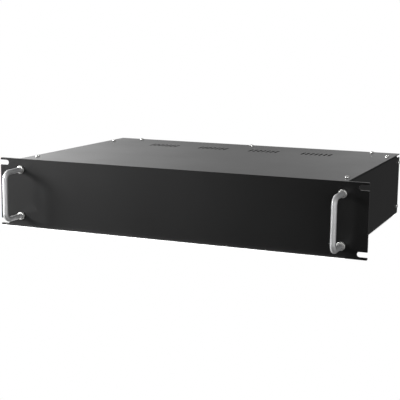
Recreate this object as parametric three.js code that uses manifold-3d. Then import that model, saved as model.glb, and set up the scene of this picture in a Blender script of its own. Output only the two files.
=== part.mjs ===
// A rack-mounted uninterruptible power supply, two rack units high, with a plain front panel.
// Sizes are in millimetres. +X is to the right of the front panel, +Y runs from the front to the
// rear and +Z is up. Pieces are drawn with Y measured from the front panel's face, and the last
// lines move the whole assembly so that its origin lies on the surface that it stands on, under
// the middle of its overall box.
import * as THREE from "three";
import Module from "manifold-3d";
import { mergeVertices } from "three/addons/utils/BufferGeometryUtils.js";

// ---- clearances
const seat = 0.05; // between two small faces that rest on each other
const fit = 0.3; // between sheets that lie together, and around what passes through a hole

// ---- front panel and rack ears
const panelWidth = 482.6;
const panelHeight = 88.1;
const panelThickness = 3;
const panelCorner = 1;
const earSlotPitch = 76.2;
const earSlotDepth = 12.3;
const earSlotWidth = 6.4;
const panelStudRadius = 2;
const panelStudLength = 9;
const panelStudPitch = 38;
const panelStudInset = 8; // from the free edge of the case's front flange

// ---- case
const caseWidth = 430;
const caseDepth = 294; // front face of the panel to rear face of the case
const sheet = 1.2;
const bendRadius = 2;
const lidDrop = 0.4; // lid below the panel's top edge
const floorGap = 3.7; // case above the surface that it stands on
const flangeWidth = 15; // flanges that carry the lid and the front panel
const rearFlangeWidth = 16;
const cornerRelief = 3;

// ---- lid vents
const ventGroups = 4;
const ventGroupPitch = 76;
const slitsPerGroup = 7;
const slitPitch = 6.3;
const slitWidth = 2.8;
const slitLength = 22;
const ventFromRear = 64;

// ---- handles
const rodRadius = 3.2;
const handlePitch = 60; // between the two legs
const handleReach = 36; // panel face to the middle of the grip
const handleBend = 9;
const handleFromCaseSide = 4;
const collarRadius = 5.1;
const collarHeight = 2.6;
const handleScrewRadius = 2;
const handleScrewHeadRadius = 3.8;
const handleScrewHeadDepth = 2;
const handleScrewReach = 8; // into the rod, from the panel's face

// ---- small screws and feet
const screwRadius = 1.5;
const screwHeadRadius = 3;
const screwHeadHeight = 2;
const screwLength = 7;
const lidScrewInset = 8; // from the case side
const lidScrewFront = 34; // from the panel's face
const lidScrewFromRear = 45;
const rearEdgeScrewPitch = 178;
const rearEdgeScrewInset = 9;
const sideScrewPitch = 61;
const sideScrewInset = 7;
const footRadius = 8;
const footPegRadius = 2.5;
const footSideInset = 30;
const footEndInset = 27;

// ---- batteries
const batteryLength = 151;
const batteryHeight = 94; // lies along Y, because the batteries rest on a side
const batteryThickness = 65;
const batteryGap = 3;
const batteryFront = 10;
const batterySideGap = 11;
const batteryLidDepth = 9;
const batteryLidStep = 1;
const terminalWidth = 6.3;
const terminalThickness = 0.8;
const terminalLength = 6.5;
const terminalInset = 11;
const bracketWidth = 24;
const bracketThickness = 1.5;
const bracketFoot = 9;
const leadRadius = 2.2;
const leadBend = 7;

// ---- transformer
const coreWidth = 84;
const coreHeight = 70;
const coreStack = 45;
const coreLeg = 14; // outer legs and yokes; the middle leg is twice as wide
const coilWall = 12;
const transformerSideGap = 14;
const transformerFront = 24;

// ---- circuit board
const boardThickness = 1.6;
const boardLift = 8;
const boardWidth = 330;
const boardSideGap = 9;
const boardFromBattery = 22;
const boardFromRear = 45;
const standoffRadius = 3;
const standoffInset = 7;
const heatsinkHeight = 52;
const heatsinkSpine = 4;
const heatsinkFins = 7;
const heatsinkFinThickness = 1.5;
const heatsinkFinLength = 22;
const heatsinkLength = 79;
const capacitorRadius = 12.5;
const capacitorHeight = 42;
const relaySize = [28, 12.5, 25];
const cardSize = [70, 46];
// Places on the board are measured from its front left corner.
const leadPlaces = [140, 168];
const heatsinkPlace = [186, 29];
const capacitorPlaces = [[250, 60], [282, 60]];
const relayPlace = [30, 60];
const cardPlace = [50, 96];

// ---- fans
const fanSize = 60;
const fanDepth = 25;
const fanHolePitch = 50;
const fanHoleRadius = 2.15;
const fanWall = 1.4;
const fanHubRadius = 13;
const fanBlades = 7;
const fanBladeThickness = 1.2;
const fanTipGap = 1;
const fanStrutWidth = 4;
const fanStrutDepth = 3;
const fanShaftRadius = 1.5;
const fanRotorInset = 1.2;
const fanRootPitch = 50; // degrees, blade angle at the hub
const fanTipPitch = 32;
const fanPitch = 68;
const fanFromSide = 50;
const guardWire = 1.6;

// ---- rear connectors, X from the case's middle
const connectorHeight = 41.5; // above the case's floor
const inletX = -177;
const inletFlange = [50, 26];
const inletFlangeDepth = 2.6;
const inletBody = [31, 23];
const inletBodyDepth = 24;
const inletCavity = [24.4, 17];
const inletCavityDepth = 15;
const inletPin = [2, 4];
const inletPinShort = 3;
const inletPinPitch = 7;
const inletPinOffset = 2;
const pinPlaces = [-1, 0, 1].map((i) => [i * inletPinPitch, i === 0 ? inletPinOffset : -inletPinOffset]);
const breakerX = -139;
const breakerNutRadius = 8;
const breakerNutDepth = 3.5;
const breakerBushRadius = 5.6;
const breakerBodyDepth = 28;
const breakerBody = [16, 32];
const breakerButtonRadius = 3.6;
const breakerBushProud = 2;
const breakerButtonHold = 7;
const breakerButtonOut = 1.5;
const switchX = -117;
const switchBezel = [15, 25];
const switchBezelDepth = 2;
const switchBodyDepth = 17;
const rockerRadius = 9.2;
const rockerWidth = 9.5;
const rockerTilt = 10; // degrees each side of level
const rockerFaceAngle = 58; // degrees from straight out, where the face meets an end
const rockerBackAngle = 100;
const rockerDip = 2;
const rockerSwing = 3.4; // how far behind its pivot the tipped rocker reaches
const rockerPivotY = -1;
const switchLap = 1;
const portX = -88;
const portLift = 12; // data ports above the connector line, test button below it
const portSize = [19, 30];
const portDepth = 16;
const portProud = 1;
const networkJack = [11.8, 8.6];
const serialJack = [9, 8];
const jackDepth = 12;
const testButtonDrop = 24;
const testBezelRadius = 6;
const testBezelDepth = 1.6;
const testBodyRadius = 4.8;
const testBodyDepth = 12;
const testButtonRadius = 3.2;
const testButtonOut = 2.4;
const testTravel = 1.5;
const outletX = -10;
const outletColumns = 3;
const outletRows = 2;
const outletPitch = [36, 30];
const outletMargin = 3.5;
const outletFlangeDepth = 2;
const outletDepth = 22;
const outletMouth = [28.6, 21.6];
const outletCore = [23.6, 16.4];
const outletGroove = 14;
const outletSlot = [2.4, 5.2];
const outletFlangeLap = 2;
const earthX = -177;
const earthDrop = 27;
const earthStudRadius = 2.5;
const earthHeadRadius = 4.6;
const earthHeadDepth = 2;
const earthStudLength = 10;

// ---- levels and lines worked out from the sizes above
const lidTop = panelHeight - lidDrop;
const lidUnder = lidTop - sheet;
const flangeTop = lidUnder - fit;
const floorUnder = floorGap;
const floorTop = floorUnder + sheet;
const trayFront = panelThickness + fit;
const sideOut = caseWidth / 2;
const sideIn = sideOut - sheet;
const rearOut = caseDepth;
const rearIn = rearOut - sheet;
const handleX = sideOut - handleFromCaseSide;
const panelMiddle = panelHeight / 2;
const studX = sideIn - flangeWidth + panelStudInset;
const connectorZ = floorTop + connectorHeight;
const lidScrewX = sideOut - lidScrewInset;
const batteryBase = floorTop + fit;
const batteryRear = batteryFront + batteryHeight;
const batteryXs = [0, 1].map(
  (i) => -sideIn + batterySideGap + batteryLength / 2 + i * (batteryLength + batteryGap),
);
const boardLeft = -sideIn + boardSideGap;
const boardFront = batteryRear + boardFromBattery;
const boardRear = rearIn - boardFromRear;
const boardUnder = floorTop + boardLift;
const boardTop = boardUnder + boardThickness;
const fanXs = [0, 1].map((i) => sideIn - fanFromSide - i * fanPitch);
const fanBore = fanSize / 2 - fanWall;
const outletWidth = outletColumns * outletPitch[0] + 2 * outletMargin;
const outletHeight = outletRows * outletPitch[1] + 2 * outletMargin;
const overallFront = -(handleReach + rodRadius);
const overallRear = rearOut + earthStudLength;

// ---- finishes
const finish = (color, roughness, metalness) =>
  new THREE.MeshStandardMaterial({ color, roughness, metalness });
const blackPaint = finish(0x1b1b1c, 0.42, 0.1);
const lidPaint = finish(0x2a2a2b, 0.5, 0.1);
const brushedRod = finish(0xc9cbcc, 0.28, 1);
const platedSteel = finish(0xd2d2cf, 0.3, 1);
const galvanised = finish(0xa9adb0, 0.4, 0.9);
const blackPlastic = finish(0x141414, 0.5, 0);
const greyPlastic = finish(0x55585a, 0.55, 0);
const redPlastic = finish(0xa8201a, 0.45, 0);
const rubber = finish(0x101010, 0.85, 0);
const boardGreen = finish(0x1d5a35, 0.5, 0);
const aluminium = finish(0xb6b9bb, 0.4, 0.9);
const laminations = finish(0x4b4d50, 0.55, 0.8);
const windingTape = finish(0xc9a23a, 0.6, 0);
const cableRed = finish(0xb3221b, 0.5, 0);
const cableBlack = finish(0x161616, 0.55, 0);
const sleeveBlue = finish(0x20364f, 0.35, 0);

// ---- solids
const wasm = await Module();
wasm.setup();
const WELD = 1e-4;

function solid(geometry) {
  const bare = new THREE.BufferGeometry();
  bare.setAttribute("position", geometry.getAttribute("position"));
  bare.setIndex(geometry.index);
  const merged = mergeVertices(bare, WELD);
  return new wasm.Manifold(
    new wasm.Mesh({
      numProp: 3,
      vertProperties: merged.attributes.position.array,
      triVerts: new Uint32Array(merged.index.array),
    }),
  );
}

function surface(body) {
  const mesh = body.getMesh();
  const geometry = new THREE.BufferGeometry();
  geometry.setAttribute("position", new THREE.BufferAttribute(mesh.vertProperties, 3));
  geometry.setIndex(new THREE.BufferAttribute(mesh.triVerts, 1));
  return geometry;
}

function join(...pieces) {
  return surface(pieces.map(solid).reduce((all, piece) => all.add(piece)));
}

function cut(base, ...tools) {
  return surface(tools.map(solid).reduce((left, tool) => left.subtract(tool), solid(base)));
}

function block(x, y, z) {
  const box = new THREE.BoxGeometry(x[1] - x[0], y[1] - y[0], z[1] - z[0]);
  return box.translate((x[0] + x[1]) / 2, (y[0] + y[1]) / 2, (z[0] + z[1]) / 2);
}

// ---- outlines
const point = (x, y) => new THREE.Vector2(x, y);

function arc(cx, cy, radius, from, to, steps) {
  return Array.from({ length: steps + 1 }, (_, i) => {
    const angle = from + ((to - from) * i) / steps;
    return point(cx + radius * Math.cos(angle), cy + radius * Math.sin(angle));
  });
}

const bothSides = (make) => [-1, 1].flatMap(make);

function circle(cx, cy, radius, sides) {
  return arc(cx, cy, radius, 0, 2 * Math.PI, sides).slice(0, -1);
}

function rectangle(cx, cy, width, height) {
  const [w, h] = [width / 2, height / 2];
  return [point(cx - w, cy - h), point(cx + w, cy - h), point(cx + w, cy + h), point(cx - w, cy + h)];
}

function roundedRectangle(cx, cy, width, height, radius, steps) {
  const [w, h] = [width / 2 - radius, height / 2 - radius];
  return [[1, 1], [-1, 1], [-1, -1], [1, -1]].flatMap(([sx, sy], quarter) =>
    arc(cx + sx * w, cy + sy * h, radius, (quarter * Math.PI) / 2, ((quarter + 1) * Math.PI) / 2, steps),
  );
}

// A slit with round ends whose long side is vertical.
function slit(cx, cy, width, length, steps) {
  const [radius, reach] = [width / 2, (length - width) / 2];
  return [
    ...arc(cx, cy + reach, radius, 0, Math.PI, steps),
    ...arc(cx, cy - reach, radius, Math.PI, 2 * Math.PI, steps),
  ];
}

// The six-sided outline of an appliance connector, with its two upper corners cut off.
function connectorOutline(cx, cy, width, height) {
  const [w, h, chamfer] = [width / 2, height / 2, height / 4];
  return [
    point(cx - w, cy - h),
    point(cx + w, cy - h),
    point(cx + w, cy + h - chamfer),
    point(cx + w - chamfer, cy + h),
    point(cx - w + chamfer, cy + h),
    point(cx - w, cy + h - chamfer),
  ];
}

function extruded(outline, depth, holes = []) {
  const plate = new THREE.ExtrudeGeometry(new THREE.Shape(outline), { depth, bevelEnabled: false });
  if (holes.length === 0) return plate;
  return cut(plate, ...holes.map((hole) => extruded(hole, depth + 2).translate(0, 0, -1)));
}

// An outline in X and Z, given thickness along Y from yFront to yRear.
function upright(outline, yFront, yRear, holes) {
  return extruded(outline, yRear - yFront, holes).rotateX(Math.PI / 2).translate(0, yRear, 0);
}

// An outline in X and Y, given thickness along Z from zLow to zHigh.
function level(outline, zLow, zHigh, holes) {
  return extruded(outline, zHigh - zLow, holes).translate(0, 0, zLow);
}

// An outline in Y and Z, given thickness along X, centred on X = 0.
function sideways(outline, width) {
  const turn = new THREE.Matrix4().makeBasis(
    new THREE.Vector3(0, 1, 0),
    new THREE.Vector3(0, 0, 1),
    new THREE.Vector3(1, 0, 0),
  );
  return extruded(outline, width).translate(0, 0, -width / 2).applyMatrix4(turn);
}

// A turned piece along +Y. The profile is [radius, distance along Y] pairs, from the low end up.
function turned(profile, sides) {
  return new THREE.LatheGeometry(profile.map(([radius, along]) => point(radius, along)), sides);
}

// A line through corners, rounded to one radius, that has cross-sections only where it bends.
class BentLine extends THREE.Curve {
  constructor(corners, radius, stepsPerBend) {
    super();
    const at = corners.map((corner) => new THREE.Vector3(...corner));
    this.stations = [{ at: at[0], along: at[1].clone().sub(at[0]).normalize() }];
    for (let i = 1; i < at.length - 1; i++) this.addBend(at[i - 1], at[i], at[i + 1], radius, stepsPerBend);
    const last = at.length - 1;
    this.stations.push({ at: at[last], along: at[last].clone().sub(at[last - 1]).normalize() });
  }

  addBend(before, corner, after, radius, steps) {
    const arriving = corner.clone().sub(before).normalize();
    const leaving = after.clone().sub(corner).normalize();
    const turn = arriving.angleTo(leaving);
    const start = corner.clone().addScaledVector(arriving, -radius * Math.tan(turn / 2));
    const inward = leaving.clone().addScaledVector(arriving, -leaving.dot(arriving)).normalize();
    for (let i = 0; i <= steps; i++) {
      const angle = (turn * i) / steps;
      const at = start.clone().addScaledVector(arriving, radius * Math.sin(angle));
      at.addScaledVector(inward, radius * (1 - Math.cos(angle)));
      const along = arriving.clone().multiplyScalar(Math.cos(angle)).addScaledVector(inward, Math.sin(angle));
      this.stations.push({ at, along });
    }
  }

  station(u) {
    return this.stations[Math.round(u * (this.stations.length - 1))];
  }

  getPointAt(u) {
    return this.station(u).at.clone();
  }

  getTangentAt(u) {
    return this.station(u).along.clone();
  }
}

function rod(corners, radius, sides, bend, stepsPerBend) {
  const line = new BentLine(corners, bend, stepsPerBend);
  return new THREE.ExtrudeGeometry(new THREE.Shape(circle(0, 0, radius, sides)), {
    extrudePath: line,
    steps: line.stations.length - 1,
    bevelEnabled: false,
  });
}

// ---- front panel
const earSlotZs = [-1, 1].map((side) => panelMiddle + (side * earSlotPitch) / 2);
const handleZs = [-1, 1].map((side) => panelMiddle + (side * handlePitch) / 2);
const studZs = [-1, 1].map((side) => panelMiddle + (side * panelStudPitch) / 2);

function earSlot(side, z) {
  const radius = earSlotWidth / 2;
  const middle = side * (panelWidth / 2 - earSlotDepth + radius);
  const past = side * (panelWidth / 2 + panelCorner);
  const end = arc(middle, z, radius, Math.PI / 2, (3 * Math.PI) / 2, 6);
  const outline = side > 0 ? end : end.map((p) => point(2 * middle - p.x, p.y));
  return upright([...outline, point(past, z - radius), point(past, z + radius)], -fit, panelThickness + fit);
}

function handleHole(x, z) {
  const hole = [
    [0, -fit],
    [handleScrewRadius + fit, -fit],
    [handleScrewRadius + fit, panelThickness - handleScrewHeadDepth],
    [handleScrewHeadRadius + fit, panelThickness],
    [handleScrewHeadRadius + fit, panelThickness + fit],
    [0, panelThickness + fit],
  ];
  return turned(hole, 12).translate(x, 0, z);
}

function frontPanel() {
  const outline = roundedRectangle(0, panelMiddle, panelWidth, panelHeight, panelCorner, 2);
  const plate = upright(outline, 0, panelThickness);
  const studs = bothSides((side) =>
    studZs.map((z) =>
      turned([[0, -1], [panelStudRadius, -1], [panelStudRadius, panelStudLength], [0, panelStudLength]], 10)
        .translate(side * studX, panelThickness, z),
    ),
  );
  const slots = bothSides((side) => earSlotZs.map((z) => earSlot(side, z)));
  const holes = bothSides((side) => handleZs.map((z) => handleHole(side * handleX, z)));
  return cut(join(plate, ...studs), ...slots, ...holes);
}

// ---- handles
// Drawn about the panel's face, with the legs one above the other.
function handleRod() {
  const foot = -(collarHeight - 1);
  const half = handlePitch / 2;
  const bare = rod(
    [[0, foot, -half], [0, -handleReach, -half], [0, -handleReach, half], [0, foot, half]],
    rodRadius,
    12,
    handleBend,
    5,
  );
  const bores = [-half, half].map((z) =>
    turned(
      [[0, -handleScrewReach - fit], [handleScrewRadius + fit, -handleScrewReach - fit],
        [handleScrewRadius + fit, fit], [0, fit]],
      10,
    ).translate(0, 0, z),
  );
  return cut(bare, ...bores);
}

// A ferrule with a step inside it that the rod's foot stands on.
function collar() {
  const [inner, step] = [rodRadius + fit, handleScrewRadius + fit];
  const lip = collarHeight - 1 - fit;
  return turned(
    [[step, -lip], [inner, -lip], [inner, -collarHeight], [collarRadius - 1.2, -collarHeight],
      [collarRadius, 1 - collarHeight], [collarRadius, -seat], [step, -seat], [step, -lip]],
    20,
  );
}

// A countersunk screw that comes through the panel from behind into the rod's leg.
function handleScrew() {
  const back = panelThickness - seat;
  return turned(
    [[0, -handleScrewReach], [handleScrewRadius, -handleScrewReach],
      [handleScrewRadius, back - handleScrewHeadDepth], [handleScrewHeadRadius, back], [0, back]],
    10,
  );
}

// ---- case
const rearFlangeFront = rearOut - rearFlangeWidth;
const lidScrewYs = [lidScrewFront, rearOut - lidScrewFromRear];
const rearEdgeScrewY = rearOut - rearEdgeScrewInset;
const rearEdgeScrewXs = [-1, 0, 1].map((i) => i * rearEdgeScrewPitch);
const sideScrewY = rearOut - sideScrewInset;
const caseMiddle = (floorUnder + lidTop) / 2;
const sideScrewZs = [-1, 1].map((side) => caseMiddle + (side * sideScrewPitch) / 2);
const footXs = [-1, 1].map((side) => side * (sideOut - footSideInset));
const footYs = [trayFront + footEndInset, rearOut - footEndInset];
const standoffXs = [standoffInset, boardWidth / 2, boardWidth - standoffInset].map((x) => boardLeft + x);
const standoffYs = [boardFront + standoffInset, boardRear - standoffInset];

// The folded section: floor, two sides and the two flanges that the lid rests on.
function traySection() {
  const inner = bendRadius - sheet;
  const low = floorUnder + bendRadius;
  const high = flangeTop - bendRadius;
  const quarter = Math.PI / 2;
  const right = [
    ...arc(sideOut - bendRadius, low, bendRadius, -quarter, 0, 3),
    ...arc(sideOut - bendRadius, high, bendRadius, 0, quarter, 3),
    point(sideIn - flangeWidth, flangeTop),
    point(sideIn - flangeWidth, flangeTop - sheet),
    ...arc(sideOut - bendRadius, high, inner, quarter, 0, 2),
    ...arc(sideOut - bendRadius, low, inner, 0, -quarter, 2),
  ];
  const left = right.map((p) => point(-p.x, p.y)).reverse();
  // The right half runs from the outside of the floor round to its inside, and the left half back.
  return [...right, ...left];
}

// A clearance hole through one sheet for a shank of the given radius.
function drill(axis, shankRadius, x, y, z) {
  const [radius, reach] = [shankRadius + fit, 2 * sheet];
  const hole = turned([[0, -reach], [radius, -reach], [radius, reach], [0, reach]], 10);
  if (axis === "z") hole.rotateX(Math.PI / 2);
  if (axis === "x") hole.rotateZ(-Math.PI / 2);
  return hole.translate(x, y, z);
}

function chassisTray() {
  const folded = upright(traySection(), trayFront, rearOut - fit);
  const frontFlanges = [-1, 1].map((side) => {
    const xs = [side * (sideIn - flangeWidth), side * (sideIn + sheet / 2)].sort((a, b) => a - b);
    return block(xs, [trayFront, trayFront + sheet], [floorTop + bendRadius, flangeTop - sheet - bendRadius]);
  });
  const standoffs = standoffXs.flatMap((x) =>
    standoffYs.map((y) => {
      const height = boardUnder - fit - floorTop;
      return turned([[0, -sheet / 2], [standoffRadius, -sheet / 2], [standoffRadius, height], [0, height]], 8)
        .rotateX(Math.PI / 2)
        .translate(x, y, floorTop);
    }),
  );
  const reliefs = [-1, 1].map((side) => {
    const xs = [side * (sideIn - flangeWidth - 1), side * (sideOut + 1)].sort((a, b) => a - b);
    return block(xs, [rearFlangeFront - fit, rearOut], [flangeTop - cornerRelief, flangeTop + 1]);
  });
  const holes = [
    ...bothSides((side) => studZs.map((z) => drill("y", panelStudRadius, side * studX, trayFront, z))),
    ...bothSides((side) => lidScrewYs.map((y) => drill("z", screwRadius, side * lidScrewX, y, flangeTop))),
    ...bothSides((side) => sideScrewZs.map((z) => drill("x", screwRadius, side * sideOut, sideScrewY, z))),
    ...footXs.flatMap((x) => footYs.map((y) => drill("z", footPegRadius, x, y, floorTop))),
  ];
  return cut(join(folded, ...frontFlanges, ...standoffs), ...reliefs, ...holes);
}

function lid() {
  const yMiddle = (trayFront + rearOut) / 2;
  const vents = Array.from({ length: ventGroups * slitsPerGroup }, (_, i) => {
    const group = Math.floor(i / slitsPerGroup) - (ventGroups - 1) / 2;
    const place = (i % slitsPerGroup) - (slitsPerGroup - 1) / 2;
    return slit(group * ventGroupPitch + place * slitPitch, rearOut - ventFromRear, slitWidth, slitLength, 3);
  });
  const screwHoles = [
    ...bothSides((side) => lidScrewYs.map((y) => circle(side * lidScrewX, y, screwRadius + fit, 8))),
    ...rearEdgeScrewXs.map((x) => circle(x, rearEdgeScrewY, screwRadius + fit, 8)),
  ];
  return level(
    roundedRectangle(0, yMiddle, caseWidth, rearOut - trayFront, panelCorner, 1),
    lidUnder,
    lidTop,
    [...vents, ...screwHoles],
  );
}

function fanScrewHoles(cx, cz) {
  const half = fanHolePitch / 2;
  return bothSides((sx) => bothSides((sz) => [circle(cx + sx * half, cz + sz * half, fanHoleRadius, 6)]));
}

function rearPanel() {
  const [low, high] = [floorTop + fit, flangeTop];
  const half = sideIn - fit;
  const relief = high - cornerRelief - sheet;
  const outline = [
    point(-half, low),
    point(half, low),
    point(half, relief),
    point(half - flangeWidth, relief),
    point(half - flangeWidth, high),
    point(-half + flangeWidth, high),
    point(-half + flangeWidth, relief),
    point(-half, relief),
  ];
  const fanHoles = fanXs.flatMap((x) => [
    circle(x, connectorZ, fanBore - 0.5, 24),
    ...fanScrewHoles(x, connectorZ),
  ]);
  const cutOuts = [
    ...fanHoles,
    rectangle(inletX, connectorZ, inletBody[0] + 2 * fit, inletBody[1] + 2 * fit),
    circle(breakerX, connectorZ, breakerBushRadius + fit, 12),
    rectangle(switchX, connectorZ, ...switchBezel.map((side) => side - 2 * switchLap)),
    rectangle(portX, connectorZ + portLift, portSize[0] + 2 * fit, portSize[1] + 2 * fit),
    circle(portX, connectorZ - testButtonDrop, testBodyRadius + fit, 12),
    rectangle(outletX, connectorZ, outletWidth - 2 * outletFlangeLap, outletHeight - 2 * outletFlangeLap),
    circle(earthX, connectorZ - earthDrop, earthStudRadius + fit, 10),
  ];
  const plate = upright(outline, rearIn, rearOut, cutOuts);
  const flangeYs = [rearFlangeFront, rearIn + sheet / 2];
  const topFlange = block([-half + flangeWidth, half - flangeWidth], flangeYs, [high - sheet, high]);
  const sideFlanges = [-1, 1].map((side) => {
    const xs = [side * (half - sheet), side * half].sort((a, b) => a - b);
    return block(xs, flangeYs, [low + bendRadius, relief]);
  });
  const holes = [
    ...rearEdgeScrewXs.map((x) => drill("z", screwRadius, x, rearEdgeScrewY, high)),
    ...bothSides((side) => sideScrewZs.map((z) => drill("x", screwRadius, side * half, sideScrewY, z))),
  ];
  return cut(join(plate, topFlange, ...sideFlanges), ...holes);
}

// A pan-head screw along +Y, its head above Y = 0.
function panScrew() {
  const [edge, crown] = [0.45 * screwHeadHeight, 0.62 * screwHeadRadius];
  return turned(
    [[0, -screwLength], [screwRadius, -screwLength], [screwRadius, seat], [screwHeadRadius, seat],
      [screwHeadRadius, edge], [crown, screwHeadHeight], [0, screwHeadHeight]],
    10,
  );
}

function foot() {
  const top = floorUnder - seat;
  return turned(
    [[0, 0], [footRadius - 1, 0], [footRadius, 1], [footRadius, top], [footPegRadius, top],
      [footPegRadius, floorTop - seat], [0, floorTop - seat]],
    12,
  ).rotateX(Math.PI / 2);
}

// ---- batteries and their leads
const terminalZ = batteryBase + batteryThickness - terminalInset;
const terminalRear = batteryRear + terminalLength;

function battery() {
  const [w, h] = [batteryLength / 2, batteryThickness];
  const jar = block([-w, w], [batteryFront, batteryRear - batteryLidDepth], [0, h]);
  const step = batteryLidStep;
  const cover = block([-w + step, w - step], [batteryFront + 1, batteryRear], [step, h - step]);
  const tabs = [-1, 1].map((side) => {
    const x = side * (w - terminalInset);
    const z = h - terminalInset;
    return block(
      [x - terminalWidth / 2, x + terminalWidth / 2],
      [batteryRear - 1, terminalRear],
      [z - terminalThickness / 2, z + terminalThickness / 2],
    );
  });
  return join(jar, cover, ...tabs);
}

function batteryBracket() {
  const left = batteryXs[0] - batteryLength / 2 - fit;
  const right = batteryXs[1] + batteryLength / 2 + fit;
  const top = batteryBase + batteryThickness + fit;
  const [low, t] = [floorTop + fit, bracketThickness];
  const outline = [
    point(left - bracketFoot, low), point(left, low), point(left, top), point(right, top),
    point(right, low), point(right + bracketFoot, low), point(right + bracketFoot, low + t),
    point(right + t, low + t), point(right + t, top + t), point(left - t, top + t),
    point(left - t, low + t), point(left - bracketFoot, low + t),
  ];
  const middle = batteryFront + batteryHeight / 2;
  return upright(outline, middle - bracketWidth / 2, middle + bracketWidth / 2);
}

const leadStart = terminalRear + seat;
const leadBack = leadStart + leadBend + leadRadius + 1;
const terminalX = (i, side) => batteryXs[i] + side * (batteryLength / 2 - terminalInset);
const leadEndZ = boardTop + seat;

function jumperLead() {
  const [from, to] = [terminalX(0, 1), terminalX(1, -1)];
  const corners = [
    [from, leadStart, terminalZ],
    [from, leadBack, terminalZ],
    [to, leadBack, terminalZ],
    [to, leadStart, terminalZ],
  ];
  return rod(corners, leadRadius, 8, leadBend, 3);
}

// Runs back from a terminal, along to its place on the board, and down to it.
function boardLead(fromX, toX) {
  const over = boardFront + 2 * leadBend + leadRadius;
  const corners = [
    [fromX, leadStart, terminalZ],
    [fromX, over, terminalZ],
    [toX, over, terminalZ],
    [toX, over, leadEndZ],
  ];
  return rod(corners, leadRadius, 8, leadBend, 3);
}

// ---- transformer
const transformerX = sideIn - transformerSideGap - coreWidth / 2;
const coilRear = transformerFront + coreStack + 2 * coilWall;

function transformerCore() {
  const [low, high] = [floorTop + fit, floorTop + fit + coreHeight];
  const window = (side) => {
    const middle = transformerX + side * (coreWidth / 2 - coreLeg - (coreWidth - 4 * coreLeg) / 4);
    return rectangle(middle, (low + high) / 2, (coreWidth - 4 * coreLeg) / 2, coreHeight - 2 * coreLeg);
  };
  const outline = rectangle(transformerX, (low + high) / 2, coreWidth, coreHeight);
  const front = transformerFront + coilWall;
  return upright(outline, front, front + coreStack, [window(-1), window(1)]);
}

// The winding stands round the middle leg and shows in front of and behind the core.
function transformerCoil() {
  const middle = floorTop + fit + coreHeight / 2;
  const half = coreHeight / 2 - coreLeg - fit;
  const wide = coreLeg + (coreWidth - 4 * coreLeg) / 2 - fit;
  const core = transformerFront + coilWall;
  const ring = level(
    roundedRectangle(transformerX, core + coreStack / 2, 2 * wide, coilRear - transformerFront, 5, 2),
    middle - half,
    middle + half,
    [rectangle(transformerX, core + coreStack / 2, 2 * (coreLeg + fit), coreStack + 2 * fit)],
  );
  return ring;
}

// ---- circuit board
function mainBoard() {
  const xs = [boardLeft, boardLeft + boardWidth];
  return block(xs, [boardFront, boardRear], [boardUnder, boardTop]);
}

// A comb-shaped extrusion that stands on its spine's edge, with its fins to one side.
function heatsink() {
  const pitch = (heatsinkHeight - heatsinkFinThickness) / (heatsinkFins - 1);
  const outline = [point(0, 0)];
  for (let i = 0; i < heatsinkFins; i++) {
    const low = i * pitch;
    const high = low + heatsinkFinThickness;
    const tip = heatsinkSpine + heatsinkFinLength;
    if (i > 0) outline.push(point(heatsinkSpine, low));
    outline.push(point(tip, low), point(tip, high));
    if (i < heatsinkFins - 1) outline.push(point(heatsinkSpine, high));
  }
  outline.push(point(0, heatsinkHeight));
  return upright(outline, 0, heatsinkLength);
}

function capacitor() {
  const [r, h] = [capacitorRadius, capacitorHeight];
  return turned([[0, 0], [r - 1, 0], [r, 1], [r, h - 1], [r - 1, h], [0, h]], 14).rotateX(Math.PI / 2);
}

function relay() {
  const [length, width, height] = relaySize;
  return block([-length / 2, length / 2], [-width / 2, width / 2], [0, height]);
}

// A small board that stands on edge.
function controlCard() {
  const [length, height] = cardSize;
  return block([-length / 2, length / 2], [-boardThickness / 2, boardThickness / 2], [0, height]);
}

// ---- fans, drawn about the rear panel's inner face
function fanFrame() {
  const back = -seat;
  const front = back - fanDepth;
  const outline = roundedRectangle(0, 0, fanSize, fanSize, 4, 2);
  const shell = upright(outline, front, back, [circle(0, 0, fanBore, 24), ...fanScrewHoles(0, 0)]);
  const motorSeat = turned(
    [[0, front], [fanHubRadius, front], [fanHubRadius, front + fanStrutDepth], [0, front + fanStrutDepth]],
    16,
  );
  const strutXs = [fanHubRadius - 2, fanBore + 1];
  const strutZs = [-fanStrutWidth / 2, fanStrutWidth / 2];
  const struts = [1, 3, 5].map((third) =>
    block(strutXs, [front, front + fanStrutDepth], strutZs).rotateY((third * Math.PI) / 3),
  );
  const bore = fanShaftRadius + fit;
  const bearing = turned([[0, front - 1], [bore, front - 1], [bore, back], [0, back]], 16);
  return cut(join(shell, motorSeat, ...struts), bearing);
}

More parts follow.
